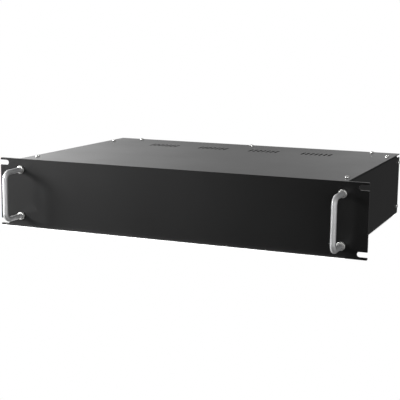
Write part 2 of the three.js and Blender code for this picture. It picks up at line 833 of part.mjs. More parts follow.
function fanRotor() {
  const front = -seat - fanDepth;
  const cupFront = front + fanStrutDepth + 2 * fit;
  const cupBack = -seat - fanRotorInset;
  const [shaft, cupRadius, shaftFront] = [fanShaftRadius, fanHubRadius - fit, front + fit];
  const cup = turned(
    [[0, shaftFront], [shaft, shaftFront], [shaft, cupFront], [cupRadius, cupFront],
      [cupRadius, cupBack - 1], [cupRadius - 1, cupBack], [0, cupBack]],
    14,
  );
  const inner = cupRadius - 1;
  const outer = fanBore - fanTipGap;
  const [chord, middle] = [cupBack - cupFront - 3, (cupBack + cupFront) / 2];
  const blades = Array.from({ length: fanBlades }, (_, i) => {
    const blade = new THREE.BoxGeometry(outer - inner, chord, fanBladeThickness, 2, 1, 1);
    const corners = blade.attributes.position;
    for (let k = 0; k < corners.count; k++) {
      const share = corners.getX(k) / (outer - inner) + 0.5;
      const pitch = THREE.MathUtils.degToRad(THREE.MathUtils.lerp(fanRootPitch, fanTipPitch, share));
      const turn = new THREE.Vector3(0, corners.getY(k), corners.getZ(k));
      turn.applyAxisAngle(new THREE.Vector3(1, 0, 0), pitch);
      corners.setY(k, turn.y);
      corners.setZ(k, turn.z);
    }
    return blade.translate((inner + outer) / 2, middle, 0).rotateY((2 * Math.PI * i) / fanBlades);
  });
  return join(cup, ...blades);
}

// A wire guard on the outside of the panel: three rings tied by two crossed wires.
function fanGuard() {
  const low = sheet + seat;
  const rings = [0.32, 0.62, 0.92].map((share) => {
    const middle = fanBore * share;
    const [a, b] = [middle - guardWire / 2, middle + guardWire / 2];
    return turned([[a, low], [b, low], [b, low + guardWire], [a, low + guardWire], [a, low]], 20);
  });
  const reach = (fanHolePitch / 2) * Math.SQRT2;
  const bars = [1, 3].map((quarter) =>
    block([-reach, reach], [low, low + guardWire], [-guardWire / 2, guardWire / 2])
      .rotateY((quarter * Math.PI) / 4),
  );
  const [eye, high] = [fanHoleRadius + guardWire, low + guardWire];
  const eyes = [1, 3, 5, 7].map((eighth) =>
    turned([[0, low], [eye, low], [eye, high], [0, high]], 10)
      .translate(reach, 0, 0)
      .rotateY((eighth * Math.PI) / 4),
  );
  return join(...rings, ...bars, ...eyes);
}

// ---- rear connectors, drawn about the panel's outer face
function mainsInlet() {
  const flange = upright(rectangle(0, 0, ...inletFlange), seat, inletFlangeDepth);
  const [back, floor] = [inletFlangeDepth - inletBodyDepth, inletFlangeDepth - inletCavityDepth];
  const body = upright(rectangle(0, 0, ...inletBody), back, inletFlangeDepth / 2);
  const cavity = upright(connectorOutline(0, 0, ...inletCavity), floor, inletFlangeDepth + 1);
  const pins = pinPlaces.map(([x, z]) =>
    upright(rectangle(x, z, ...inletPin), floor - 1, inletFlangeDepth - inletPinShort),
  );
  return join(cut(join(flange, body), cavity), ...pins);
}

function breakerHousing() {
  const end = breakerNutDepth + breakerBushProud;
  const [wide, rear] = [breakerBushRadius, -2 * sheet];
  const bush = turned([[0, rear], [wide, rear], [wide, end], [0, end]], 16);
  const [w, h] = breakerBody;
  const back = -sheet - seat;
  const box = block([-w / 2, w / 2], [back - breakerBodyDepth, back], [-h / 2, h / 2]);
  const deep = -breakerButtonHold - fit;
  const radius = breakerButtonRadius + fit;
  const bore = turned([[0, deep], [radius, deep], [radius, end + 1], [0, end + 1]], 16);
  return cut(join(bush, box), bore);
}

function breakerNut() {
  const [outer, inner, top] = [breakerNutRadius, breakerBushRadius + fit, breakerNutDepth];
  const hexagon = turned([[0, seat], [outer, seat], [outer, top], [0, top]], 6);
  return cut(hexagon, turned([[0, -1], [inner, -1], [inner, top + 1], [0, top + 1]], 16));
}

function breakerButton() {
  const out = breakerNutDepth + breakerBushProud + breakerButtonOut;
  const radius = breakerButtonRadius;
  return turned([[0, -breakerButtonHold], [radius, -breakerButtonHold], [radius, out - 1],
    [radius - 1, out], [0, out]], 16);
}

function switchBody() {
  const bezel = upright(rectangle(0, 0, ...switchBezel), seat, switchBezelDepth);
  const [w, h] = switchBezel.map((side) => side - 2 * switchLap - 2 * fit);
  const body = upright(rectangle(0, 0, w, h), -switchBodyDepth, switchBezelDepth / 2);
  const well = upright(
    rectangle(0, 0, rockerWidth + 2 * fit, 2 * (rockerRadius + fit)),
    rockerPivotY - rockerSwing - fit,
    switchBezelDepth + 1,
  );
  return cut(join(bezel, body), well);
}

// A paddle drawn about its pivot. Its ends are arcs about the pivot, its face a shallow V.
function switchRocker() {
  const degrees = THREE.MathUtils.degToRad;
  const [face, back] = [degrees(rockerFaceAngle), degrees(rockerBackAngle)];
  const outline = [
    ...arc(0, 0, rockerRadius, face, back, 4),
    ...arc(0, 0, rockerRadius, -back, -face, 4),
    point(rockerRadius * Math.cos(face) - rockerDip, 0),
  ];
  return sideways(outline, rockerWidth).rotateX(degrees(rockerTilt));
}

function portBlock() {
  const [w, h] = portSize;
  const housing = upright(rectangle(0, 0, w, h), -portDepth, portProud);
  const jacks = [[networkJack, 1], [serialJack, -1]].map(([size, side]) =>
    upright(rectangle(0, (side * h) / 4, ...size), portProud - jackDepth, portProud + 1),
  );
  return cut(housing, ...jacks);
}

function testButtonBody() {
  const profile = [[0, -testBodyDepth], [testBodyRadius, -testBodyDepth], [testBodyRadius, seat],
    [testBezelRadius, seat], [testBezelRadius, testBezelDepth], [0, testBezelDepth]];
  const bore = [[0, 1 - testBodyDepth], [testButtonRadius + fit, 1 - testBodyDepth],
    [testButtonRadius + fit, testBezelDepth + 1], [0, testBezelDepth + 1]];
  return cut(turned(profile, 14), turned(bore, 14));
}

function testButton() {
  const back = 1 - testBodyDepth + testTravel + fit;
  const face = testBezelDepth + testButtonOut;
  return turned([[0, back], [testButtonRadius, back], [testButtonRadius, face - 0.5],
    [testButtonRadius - 0.5, face], [0, face]], 12);
}

function outletBlock() {
  const [w, h] = [outletWidth / 2, outletHeight / 2];
  const inner = outletFlangeLap + fit;
  const flange = block([-w, w], [seat, outletFlangeDepth], [-h, h]);
  const body = block([-w + inner, w - inner], [outletFlangeDepth - outletDepth, outletFlangeDepth / 2],
    [-h + inner, h - inner]);
  const floor = outletFlangeDepth - outletGroove;
  const sockets = Array.from({ length: outletColumns * outletRows }, (_, i) => {
    const x = ((i % outletColumns) - (outletColumns - 1) / 2) * outletPitch[0];
    const z = (Math.floor(i / outletColumns) - (outletRows - 1) / 2) * outletPitch[1];
    const groove = upright(connectorOutline(x, z, ...outletMouth), floor, outletFlangeDepth + 1,
      [connectorOutline(x, z, ...outletCore)]);
    const slots = pinPlaces.map(([px, pz]) =>
      upright(rectangle(x + px, z + pz, ...outletSlot), floor, outletFlangeDepth + 1),
    );
    return [groove, ...slots];
  });
  return cut(join(flange, body), ...sockets.flat());
}

function earthStud() {
  const inside = -sheet - seat;
  const [bolt, head] = [earthStudRadius, earthHeadRadius];
  return turned([[0, inside - earthHeadDepth], [head, inside - earthHeadDepth], [head, inside],
    [bolt, inside], [bolt, earthStudLength], [0, earthStudLength]], 8);
}

// ---- assembly
const ups = new THREE.Group();
ups.position.y = -(overallFront + overallRear) / 2;

function place(name, geometry, material, x = 0, y = 0, z = 0) {
  const mesh = new THREE.Mesh(geometry, material);
  mesh.name = name;
  mesh.position.set(x, y, z);
  ups.add(mesh);
  return mesh;
}

function placeOnBoard(name, geometry, material, [x, y]) {
  return place(name, geometry, material, boardLeft + x, boardFront + y, boardTop + seat);
}

const sides = [["left", -1], ["right", 1]];

place("front_panel", frontPanel(), blackPaint);
for (const [side, sign] of sides) {
  place(`handle_${side}`, handleRod(), brushedRod, sign * handleX, 0, panelMiddle);
  handleZs.forEach((z, i) => {
    const leg = `${side}_${["lower", "upper"][i]}`;
    place(`handle_collar_${leg}`, collar(), brushedRod, sign * handleX, 0, z);
    place(`handle_screw_${leg}`, handleScrew(), platedSteel, sign * handleX, 0, z);
  });
}

place("chassis_tray", chassisTray(), blackPaint);
place("rear_panel", rearPanel(), blackPaint);
place("top_cover", lid(), lidPaint);

footXs.forEach((x, i) =>
  footYs.forEach((y, j) =>
    place(`foot_${["front", "rear"][j]}_${sides[i][0]}`, foot(), rubber, x, y, 0),
  ),
);

const upward = Math.PI / 2;
for (const [side, sign] of sides) {
  lidScrewYs.forEach((y, j) => {
    const name = `cover_screw_${side}_${["front", "rear"][j]}`;
    place(name, panScrew(), platedSteel, sign * lidScrewX, y, lidTop).rotation.x = upward;
  });
  sideScrewZs.forEach((z, j) => {
    const name = `side_screw_${side}_${["lower", "upper"][j]}`;
    place(name, panScrew(), platedSteel, sign * sideOut, sideScrewY, z).rotation.z = (-sign * Math.PI) / 2;
  });
}
rearEdgeScrewXs.forEach((x, i) => {
  const name = `cover_screw_rear_${["left", "middle", "right"][i]}`;
  place(name, panScrew(), platedSteel, x, rearEdgeScrewY, lidTop).rotation.x = upward;
});

batteryXs.forEach((x, i) => place(`battery_${i + 1}`, battery(), greyPlastic, x, 0, batteryBase));
place("battery_bracket", batteryBracket(), galvanised);
place("battery_jumper_lead", jumperLead(), cableRed);
place("battery_lead_positive", boardLead(terminalX(0, -1), boardLeft + leadPlaces[0]), cableRed);
place("battery_lead_negative", boardLead(terminalX(1, 1), boardLeft + leadPlaces[1]), cableBlack);

place("transformer_core", transformerCore(), laminations);
place("transformer_winding", transformerCoil(), windingTape);

place("main_board", mainBoard(), boardGreen);
placeOnBoard("heat_sink", heatsink(), aluminium, heatsinkPlace);
capacitorPlaces.forEach((at, i) => placeOnBoard(`capacitor_${i + 1}`, capacitor(), sleeveBlue, at));
placeOnBoard("transfer_relay", relay(), blackPlastic, relayPlace);
placeOnBoard("control_card", controlCard(), boardGreen, cardPlace);

fanXs.forEach((x, i) => {
  const side = ["right", "left"][i];
  place(`fan_frame_${side}`, fanFrame(), blackPlastic, x, rearIn, connectorZ);
  place(`fan_rotor_${side}`, fanRotor(), blackPlastic, x, rearIn, connectorZ);
  place(`fan_guard_${side}`, fanGuard(), platedSteel, x, rearIn, connectorZ);
});

place("mains_inlet", mainsInlet(), blackPlastic, inletX, rearOut, connectorZ);
place("breaker_housing", breakerHousing(), blackPlastic, breakerX, rearOut, connectorZ);
place("breaker_nut", breakerNut(), platedSteel, breakerX, rearOut, connectorZ);
place("breaker_button", breakerButton(), blackPlastic, breakerX, rearOut, connectorZ);
place("power_switch_housing", switchBody(), blackPlastic, switchX, rearOut, connectorZ);
place("power_switch_rocker", switchRocker(), redPlastic, switchX, rearOut + rockerPivotY, connectorZ);
place("port_block", portBlock(), galvanised, portX, rearOut, connectorZ + portLift);
place("test_button_housing", testButtonBody(), blackPlastic, portX, rearOut, connectorZ - testButtonDrop);
place("test_button", testButton(), greyPlastic, portX, rearOut, connectorZ - testButtonDrop);
place("outlet_block", outletBlock(), blackPlastic, outletX, rearOut, connectorZ);
place("earth_stud", earthStud(), platedSteel, earthX, rearOut, connectorZ - earthDrop);

export default ups;
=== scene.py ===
# %% [markdown]
# # A rack-mount uninterruptible power supply
# The case is folded sheet steel behind a thick aluminium front panel. Batteries and an inverter fill it,
# and everything that a person plugs in or presses is at the rear. The measured model gives every place and
# size, and this file adds the fine shapes and the finishes, one kind of part at a time.

# %% Load the measured model
import math
import random

import bmesh
import bpy
import numpy as np
from mathutils import Euler, Matrix, Vector
from mathutils.kdtree import KDTree


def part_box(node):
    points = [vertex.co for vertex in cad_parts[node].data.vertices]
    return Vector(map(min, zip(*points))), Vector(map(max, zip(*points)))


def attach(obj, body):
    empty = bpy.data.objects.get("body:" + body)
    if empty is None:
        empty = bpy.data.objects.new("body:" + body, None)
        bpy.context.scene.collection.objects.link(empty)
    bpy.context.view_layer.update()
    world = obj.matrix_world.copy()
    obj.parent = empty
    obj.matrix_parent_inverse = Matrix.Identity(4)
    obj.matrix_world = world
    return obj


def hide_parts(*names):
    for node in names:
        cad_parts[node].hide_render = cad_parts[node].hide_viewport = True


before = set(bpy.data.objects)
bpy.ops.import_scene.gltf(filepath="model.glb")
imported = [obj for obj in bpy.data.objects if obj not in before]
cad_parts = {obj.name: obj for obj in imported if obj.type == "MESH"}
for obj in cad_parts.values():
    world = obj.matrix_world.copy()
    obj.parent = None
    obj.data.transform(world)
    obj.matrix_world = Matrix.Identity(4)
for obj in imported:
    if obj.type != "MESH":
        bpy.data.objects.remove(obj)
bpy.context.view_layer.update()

mm = 0.001


# %% [markdown]
# Every later step asks the model where a part is. A box's two corners are enough for most of them, so these
# helpers return them as vectors, with the middle where that reads better.

# %% Places read from the model
def corners(node):
    """The lowest and the highest corner of a node."""
    low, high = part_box(node)
    return Vector(low), Vector(high)


def middle(node):
    low, high = corners(node)
    return (low + high) / 2


def along(sides, *parts):
    """Node names made from every side and part, such as foot_front_left."""
    return [f"{part}_{side}" for part in parts for side in sides]


cover_low, cover_high = corners("top_cover")
panel_face = corners("front_panel")[0].y
rear_face = corners("rear_panel")[1].y
print("panel face at", round(panel_face, 4), "rear face at", round(rear_face, 4))


# %% [markdown]
# A product picture is taken from in front and a little to one side, with a long lens, so that upright edges
# stay nearly upright. The camera is turned in three steps: towards the object, down, and a little on its
# axis.

# %% Camera
lens_length, film_width = 88.23, 36
turned_by, tipped_by, rolled_by = (math.radians(angle) for angle in (22.591, 9.61, 0.691))
in_front_of_panel = 1.0603

camera_data = bpy.data.cameras.new("camera")
camera_data.sensor_width = film_width
camera_data.lens = lens_length
camera = bpy.data.objects.new("camera", camera_data)
bpy.context.collection.objects.link(camera)
aim = Euler((math.pi / 2 - tipped_by, 0, turned_by)).to_matrix()
camera.rotation_euler = (aim @ Matrix.Rotation(rolled_by, 3, "Z")).to_euler()
camera.location = (0.4793, panel_face - in_front_of_panel, 0.2480)
bpy.context.scene.camera = camera
bpy.context.scene.view_settings.view_transform = "Standard"
print("camera at", [round(v, 3) for v in camera.location], "with a", lens_length, "mm lens")


# %% [markdown]
# A node tree is quicker to read as a formula. `Link` wraps one output socket, so that sums and products of
# sockets add their own Math nodes. The reflected forms let a plain number stand first, as in 1 - mask.

# %% Sockets with arithmetic
class Link:
    """One output socket. Arithmetic on it adds Math nodes."""

    def __init__(self, tree, socket):
        self.tree, self.socket = tree, socket

    def math(self, operation, *values):
        inputs = dict(enumerate((self, *values)))
        return self.tree.add("ShaderNodeMath", {"operation": operation}, inputs)

    def flipped(self, operation, first):
        return self.tree.add("ShaderNodeMath", {"operation": operation}, {0: first, 1: self})

    def __add__(self, other):
        return self.math("ADD", other)

    def __sub__(self, other):
        return self.math("SUBTRACT", other)

    def __mul__(self, other):
        return self.math("MULTIPLY", other)

    def __truediv__(self, other):
        return self.math("DIVIDE", other)

    def __radd__(self, other):
        return self.flipped("ADD", other)

    def __rsub__(self, other):
        return self.flipped("SUBTRACT", other)

    def __rmul__(self, other):
        return self.flipped("MULTIPLY", other)

    def __rtruediv__(self, other):
        return self.flipped("DIVIDE", other)

    def above(self, edge):
        return self.math("GREATER_THAN", edge)

    def part(self, name):
        """X, Y or Z of a vector."""
        return self.tree.add("ShaderNodeSeparateXYZ", {}, {0: self}, "XYZ".index(name))


print("a socket takes:", [name for name in vars(Link) if name.startswith("__r")], "and their plain forms")


# %% [markdown]
# Every other node comes from one method, which takes the node's type, its settings and what its sockets
# get. The settings go first, because some of them change which sockets a node has.

# %% Trees filled one node at a time
class Tree:
    """A node tree that is filled one node at a time."""

    def __init__(self, tree):
        self.tree = tree

    def add(self, kind, settings=None, inputs=None, output=0):
        node = self.tree.nodes.new(kind)
        for name, value in (settings or {}).items():
            if name == "stops":
                self.fill_ramp(node.color_ramp, value)
            else:
                setattr(node, name, value)
        for key, value in (inputs or {}).items():
            self.feed(node.inputs[key], value)
        return Link(self, node.outputs[output]) if len(node.outputs) else node

    def feed(self, socket, value):
        if isinstance(value, Link):
            self.tree.links.new(value.socket, socket)
        else:
            socket.default_value = value

    def fill_ramp(self, ramp, stops):
        while len(ramp.elements) < len(stops):
            ramp.elements.new(1)
        for element, (position, colour) in zip(ramp.elements, stops):
            element.position = position
            element.color = (*colour, 1)

    def mix(self, first, second, factor):
        """A colour between two colours."""
        inputs = {0: factor, 6: self.rgba(first), 7: self.rgba(second)}
        return self.add("ShaderNodeMix", {"data_type": "RGBA"}, inputs, 2)

    def rgba(self, colour):
        return colour if isinstance(colour, Link) else (*colour, 1)

    def vector(self, operation, first, second):
        return self.add("ShaderNodeVectorMath", {"operation": operation}, {0: first, 1: second})


print("a tree can:", [name for name in vars(Tree) if not name.startswith("_")])


# %% [markdown]
# A finish is a material with one Principled shader. Uniform numbers go straight on the shader's sockets,
# and only what varies over the surface is linked. Object coordinates are metres here, because every piece
# sits at the origin, so a noise scale of 500 means grains about two millimetres across.

# %% Finishes: the common base
class Finish(Tree):
    """A material under construction."""

    def __init__(self, name, **uniform):
        self.material = bpy.data.materials.new(name)
        self.material.use_nodes = True
        super().__init__(self.material.node_tree)
        self.shader = self.tree.nodes["Principled BSDF"]
        self.set(**uniform)

    def set(self, **values):
        """Inputs of the shader, with spaces in their names written as underscores."""
        for name, value in values.items():
            key = name.replace("_", " ").replace("Ior", "IOR")
            if isinstance(value, tuple) and len(value) == 3:
                value = (*value, 1)
            self.feed(self.shader.inputs[key], value)

    def place(self):
        return self.add("ShaderNodeTexCoord", output=3)

    def uv(self):
        return self.add("ShaderNodeTexCoord", output=2)

    def noise(self, scale, detail=2, at=None, stretch=None):
        at = at or self.place()
        if stretch:
            at = self.vector("MULTIPLY", at, stretch)
        return self.add("ShaderNodeTexNoise", {}, {"Vector": at, "Scale": scale, "Detail": detail})

    def cells(self, scale, at=None, output=0):
        return self.add("ShaderNodeTexVoronoi", {}, {"Vector": at or self.place(), "Scale": scale}, output)

    def ramp(self, value, low, high):
        """The share of the way from low to high, held between 0 and 1."""
        inputs = {"Value": value, "From Min": low, "From Max": high}
        return self.add("ShaderNodeMapRange", {"clamp": True}, inputs)

    def bump(self, height, depth, strength=1.0):
        inputs = {"Height": height, "Distance": depth, "Strength": strength}
        self.set(Normal=self.add("ShaderNodeBump", {}, inputs))


print("a finish adds:", [name for name in vars(Finish) if not name.startswith("_")])


# %% [markdown]
# Powder coat melts into a skin with a faint orange peel. The grain is finer than a millimetre, so up close
# it needs bump, and from further away it is only a wide, soft highlight. Handling leaves slightly duller
# patches.

# %% Finishes: powder coat
def powder_coat(name, tone, roughness, gloss):
    paint = Finish(name, Specular_Ior_Level=gloss)
    peel = paint.noise(1100, detail=3)
    handled = paint.noise(9, detail=4)
    dark = (tone * 0.8, tone * 0.8, tone * 0.82)
    light = (tone * 1.25, tone * 1.25, tone * 1.27)
    paint.set(Base_Color=paint.mix(dark, light, paint.ramp(handled * 0.6 + peel * 0.4, 0.35, 0.65)))
    paint.set(Roughness=paint.ramp(handled, 0.2, 0.8) * 0.06 + peel * 0.05 + (roughness - 0.055))
    paint.bump(peel, 0.02 * mm, 0.35)
    return paint.material


panel_paint = powder_coat("panel_powder_coat", 0.004, 0.3, 0.44)
case_paint = powder_coat("case_powder_coat", 0.0105, 0.42, 0.36)
cover_paint = powder_coat("cover_powder_coat", 0.012, 0.32, 0.42)
print("paints:", panel_paint.name, case_paint.name, cover_paint.name)


# %% [markdown]
# Drawn aluminium rod keeps fine lines along its length after it is polished and anodised. The lines follow
# the rod round its bends, so they are drawn in the rod's own UV map: U runs round the rod and V along it.

# %% Finishes: bright metals
def drawn_aluminium():
    metal = Finish("drawn_aluminium", Metallic=0.75, Specular_Ior_Level=0.5)
    lines = metal.noise(1, detail=3, at=metal.uv(), stretch=(60, 3, 1))
    soft = metal.noise(120, detail=2)
    metal.set(Base_Color=metal.mix((0.5, 0.5, 0.51), (0.62, 0.62, 0.62), metal.ramp(lines, 0.3, 0.7)))
    metal.set(Roughness=0.46 + lines * 0.1 + soft * 0.06)
    metal.bump(lines, 0.01 * mm, 0.3)
    return metal.material


def plated(name, tone, roughness, tint=0.0):
    """Zinc or nickel plate: bright, with a faint cloudiness."""
    metal = Finish(name, Metallic=1.0)
    cloud = metal.noise(420, detail=3)
    low = (tone * 0.92, tone * 0.92, tone * (0.9 - tint))
    high = (tone, tone, tone * (0.97 - tint))
    metal.set(Base_Color=metal.mix(low, high, metal.ramp(cloud, 0.35, 0.65)))
    metal.set(Roughness=roughness + cloud * 0.08)
    metal.bump(cloud, 0.008 * mm, 0.3)
    return metal.material


def galvanised_sheet():
    """Zinc crystals, each with its own grey and gloss."""
    metal = Finish("galvanised_sheet", Metallic=1.0)
    flake = metal.cells(300, output=1)
    grey = flake.part("X")
    metal.set(Base_Color=metal.mix((0.36, 0.38, 0.4), (0.47, 0.49, 0.51), grey))
    metal.set(Roughness=0.38 + grey * 0.12)
    return metal.material


rod_metal = drawn_aluminium()
screw_plate = plated("bright_zinc", 0.7, 0.28)
ferrule_metal = plated("satin_ferrule", 0.48, 0.5)
nickel = plated("nickel", 0.7, 0.2, 0.04)
brass = plated("spring_brass", 0.72, 0.24, 0.42)
zinc_sheet = galvanised_sheet()
metals = (rod_metal, screw_plate, ferrule_metal, nickel, brass, zinc_sheet)
print("metals:", [metal.name for metal in metals])


# %% [markdown]
# Moulded plastic takes the texture of its tool. A spark-eroded tool gives an even grain of about a quarter
# of a millimetre, and the same few lines make every plastic here by changing the colour, grain and gloss.

# %% Finishes: plastics and rubber
def moulded(name, colour, roughness, grain=3200, depth=0.02, gloss=0.4):
    plastic = Finish(name, Specular_Ior_Level=gloss)
    texture = plastic.noise(grain, detail=2)
    flow = plastic.noise(26, detail=3)
    pale = tuple(min(1, c * 1.18 + 0.002) for c in colour)
    deep = tuple(c * 0.86 for c in colour)
    plastic.set(Base_Color=plastic.mix(deep, pale, plastic.ramp(flow * 0.7 + texture * 0.3, 0.35, 0.65)))
    plastic.set(Roughness=roughness + (texture - 0.5) * 0.1 + (flow - 0.5) * 0.08)
    plastic.bump(texture, depth * mm, 0.35)
    return plastic.material


before_plastics = len(bpy.data.materials)
black_plastic = moulded("black_moulding", (0.011, 0.011, 0.012), 0.46)
switch_red = moulded("switch_red", (0.36, 0.015, 0.012), 0.24, grain=900, depth=0.004, gloss=0.5)
button_grey = moulded("button_grey", (0.2, 0.21, 0.22), 0.42)
jar_grey = moulded("battery_jar", (0.055, 0.06, 0.068), 0.4)
lid_dark = moulded("battery_lid", (0.018, 0.019, 0.021), 0.36)
mark_white = moulded("mark_white", (0.72, 0.72, 0.7), 0.4, grain=1500)
foot_rubber = moulded("foot_rubber", (0.012, 0.012, 0.012), 0.72, grain=2200, depth=0.04, gloss=0.25)
sleeve_blue = moulded("capacitor_sleeve", (0.012, 0.03, 0.075), 0.26, grain=700, depth=0.006, gloss=0.5)
cable_red = moulded("cable_red", (0.36, 0.02, 0.015), 0.4, grain=1400, depth=0.01)
cable_black = moulded("cable_black", (0.012, 0.012, 0.012), 0.42, grain=1400, depth=0.01)
print("plastics and rubber:", len(bpy.data.materials) - before_plastics)


# %% [markdown]
# The parts behind the covers have finishes of their own. A circuit board is green lacquer over copper
# tracks, a transformer core is a stack of thin varnished plates, and a heat sink keeps the lines of its
# extrusion.

# %% Finishes: the inside
def circuit_board_finish():
    board = Finish("circuit_board", Specular_Ior_Level=0.5)
    place = board.place()
    bare, track = (0, 0, 0, 1), (1, 1, 1, 1)
    brick = {"Vector": place, "Scale": 160.0, "Mortar Size": 0.02}
    brick |= {"Color1": bare, "Color2": bare, "Mortar": track}
    tracks = board.add("ShaderNodeTexBrick", {"offset": 0.37, "squash": 1.6}, brick)
    pads = 1 - board.cells(310, at=place).above(0.24)
    copper = board.ramp(tracks + pads, 0, 1)
    board.set(Base_Color=board.mix((0.008, 0.07, 0.03), (0.03, 0.2, 0.08), copper))
    board.set(Roughness=0.34 - copper * 0.08)
    board.bump(copper, 0.03 * mm, 0.5)
    return board.material


def lamination_finish():
    steel = Finish("core_laminations", Metallic=0.7)
    depth = steel.place().part("Y")
    plate = 0.35 * mm
    plates = depth.math("PINGPONG", plate) / plate
    rust = steel.noise(60, detail=4)
    steel.set(Base_Color=steel.mix((0.05, 0.05, 0.055), (0.13, 0.1, 0.085), steel.ramp(rust, 0.45, 0.75)))
    steel.set(Roughness=0.42 + rust * 0.15)
    steel.bump(plates, 0.1 * mm, 0.6)
    return steel.material


def tape_finish():
    tape = Finish("winding_tape", Specular_Ior_Level=0.5)
    height = tape.place().part("Z")
    wrap = 4.5 * mm
    wraps = height.math("PINGPONG", wrap) / wrap
    tape.set(Base_Color=tape.mix((0.42, 0.24, 0.03), (0.62, 0.4, 0.08), wraps))
    tape.set(Roughness=0.3 + wraps * 0.12)
    tape.bump(wraps.above(0.5) + tape.noise(300) * 0.2, 0.06 * mm, 0.5)
    return tape.material


def extruded_finish():
    metal = Finish("extruded_aluminium", Metallic=1.0)
    lines = metal.noise(1, detail=2, at=metal.place(), stretch=(2200, 40, 2200))
    metal.set(Base_Color=metal.mix((0.45, 0.46, 0.47), (0.6, 0.61, 0.62), lines))
    metal.set(Roughness=0.3 + lines * 0.15)
    metal.bump(lines, 0.01 * mm, 0.4)
    return metal.material


board_green = circuit_board_finish()
core_steel = lamination_finish()
tape_yellow = tape_finish()
sink_metal = extruded_finish()
print("finishes so far:", len(bpy.data.materials))


# %% [markdown]
# Every piece ends the same way: a plain mesh at the origin, with its finishes, riding on one body and
# standing in for the measured nodes that it replaces. These helpers do that, and turn modifiers into plain
# meshes.

# %% Pieces and plain meshes
def new_piece(name, mesh, finishes, body="case", slot=None, stands_for=()):
    """Puts a mesh in the scene as a piece that rides on a body."""
    piece = bpy.data.objects.new(name, mesh)
    bpy.context.collection.objects.link(piece)
    numbers = [face.material_index for face in mesh.polygons]
    mesh.materials.clear()
    for finish in finishes:
        mesh.materials.append(finish)
    mesh.polygons.foreach_set("material_index", numbers)
    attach(piece, body)
    if stands_for:
        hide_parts(*stands_for)
    return piece


def mesh_from(bm, name, angle=40):
    """A mesh that shades smooth except across edges sharper than the angle."""
    mesh = bpy.data.meshes.new(name)
    bm.to_mesh(mesh)
    bm.free()
    mesh.shade_smooth()
    mesh.set_sharp_from_angle(angle=math.radians(angle))
    return mesh


def evaluated(holder):
    """The plain mesh that an object's modifiers make."""
    graph = bpy.context.evaluated_depsgraph_get()
    graph.update()
    mesh = bpy.data.meshes.new_from_object(holder.evaluated_get(graph))
    holder.modifiers.clear()
    bpy.data.objects.remove(holder)
    return mesh


def scratch(mesh, name="scratch"):
    """An object that holds a mesh for a while."""
    holder = bpy.data.objects.new(name, mesh)
    bpy.context.collection.objects.link(holder)
    return holder


def closed(bm, name, angle=40):
    """A mesh whose doubles are merged and whose faces point outwards."""
    bmesh.ops.remove_doubles(bm, verts=bm.verts, dist=0.001 * mm)
    bmesh.ops.recalc_face_normals(bm, faces=bm.faces)
    return mesh_from(bm, name, angle)


# %% [markdown]
# A folded or machined part starts from its measured solid. Its loose triangles are welded, and its flat
# faces made whole, so that a bevel finds only real edges. A measured round hole has a dozen or two straight
# sides, which show up close, so its sides are split and the new corners are moved out to the true circle.

# %% Measured shapes made whole and round
def whole(mesh, slivers=False):
    """The mesh welded and with its flat faces whole. Slivers go first, where a fill may have left some."""
    bm = bmesh.new()
    bm.from_mesh(mesh)
    bmesh.ops.remove_doubles(bm, verts=bm.verts, dist=0.002 * mm)
    if slivers:
        bmesh.ops.dissolve_degenerate(bm, edges=bm.edges, dist=0.002 * mm)
    bmesh.ops.dissolve_limit(bm, angle_limit=math.radians(0.5), verts=bm.verts, edges=bm.edges)
    return bm


def trued(bm, centres, cuts=3):
    """Rounds the many-sided rings about +Y: each side is split and its new corners move to the circle."""
    slack, fewest_sides = 0.01 * mm, 12
    rings = {}
    for centre in centres:
        for edge in bm.edges:
            axis = Vector((centre.x, edge.verts[0].co.y, centre.z))
            a, b = (v.co - axis for v in edge.verts)
            if a.length > mm and abs(a.length - b.length) < slack and abs(b.y) < slack:
                rings.setdefault((tuple(axis), round(a.length, 4)), []).append(edge)
    rings = {key: sides for key, sides in rings.items() if len(sides) >= fewest_sides}
    places = {}
    for (axis, _), sides in rings.items():
        for side in sides:
            a, b = (v.co - Vector(axis) for v in side.verts)
            for cut in range(1, cuts + 1):
                chord = a.lerp(b, cut / (cuts + 1))
                places[(Vector(axis) + chord).freeze()] = Vector(axis) + chord.normalized() * a.length
    spots = KDTree(max(1, len(places)))
    for number, spot in enumerate(places):
        spots.insert(spot, number)
    spots.balance()
    targets = list(places.values())
    known = set(bm.verts)
    sides = [side for group in rings.values() for side in group]
    bmesh.ops.subdivide_edges(bm, edges=sides, cuts=cuts, use_grid_fill=True)
    for v in bm.verts:
        if v not in known and places:
            _, number, gap = spots.find(v.co)
            if gap < 0.002 * mm:
                v.co = targets[number]
    return len(rings)


print("sides of the rear panel:", len(whole(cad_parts["rear_panel"].data).faces))


# %% [markdown]
# Real edges are never razor sharp, and the thin highlight on them is what makes metal look like metal. A
# bevel rounds the real corners, and weighted normals keep the flat faces beside them flat in the shading.

# %% Softened edges
def bevelled(mesh, radius, segments=2, angle=50):
    """The mesh with its sharp edges rounded, in millimetres, shaded smooth except across the real corners."""
    rounded = scratch(mesh)
    bevel = rounded.modifiers.new("edges", "BEVEL")
    bevel.width = radius * mm
    bevel.segments = segments
    bevel.limit_method = "ANGLE"
    bevel.angle_limit = math.radians(angle)
    bevel.use_clamp_overlap = True
    flatness = rounded.modifiers.new("flatness", "WEIGHTED_NORMAL")
    flatness.mode = "FACE_AREA"
    flatness.weight = 100
    flatness.keep_sharp = True
    return evaluated(rounded)


def softened(node, radius, finishes, slot, body="case", sort=None, round_about=()):
    """A piece with the node's shape and rounded edges. `sort` gives each face the number of its finish."""
    bm = whole(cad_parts[node].data)
    if round_about:
        print(node, "rings trued:", trued(bm, [middle(name) for name in round_about]))
    mesh = bevelled(mesh_from(bm, node), radius)
    if sort:
        for face in mesh.polygons:
            face.material_index = sort(face.center)
    return new_piece(f"{node}_fine", mesh, finishes, body, slot, (node,))


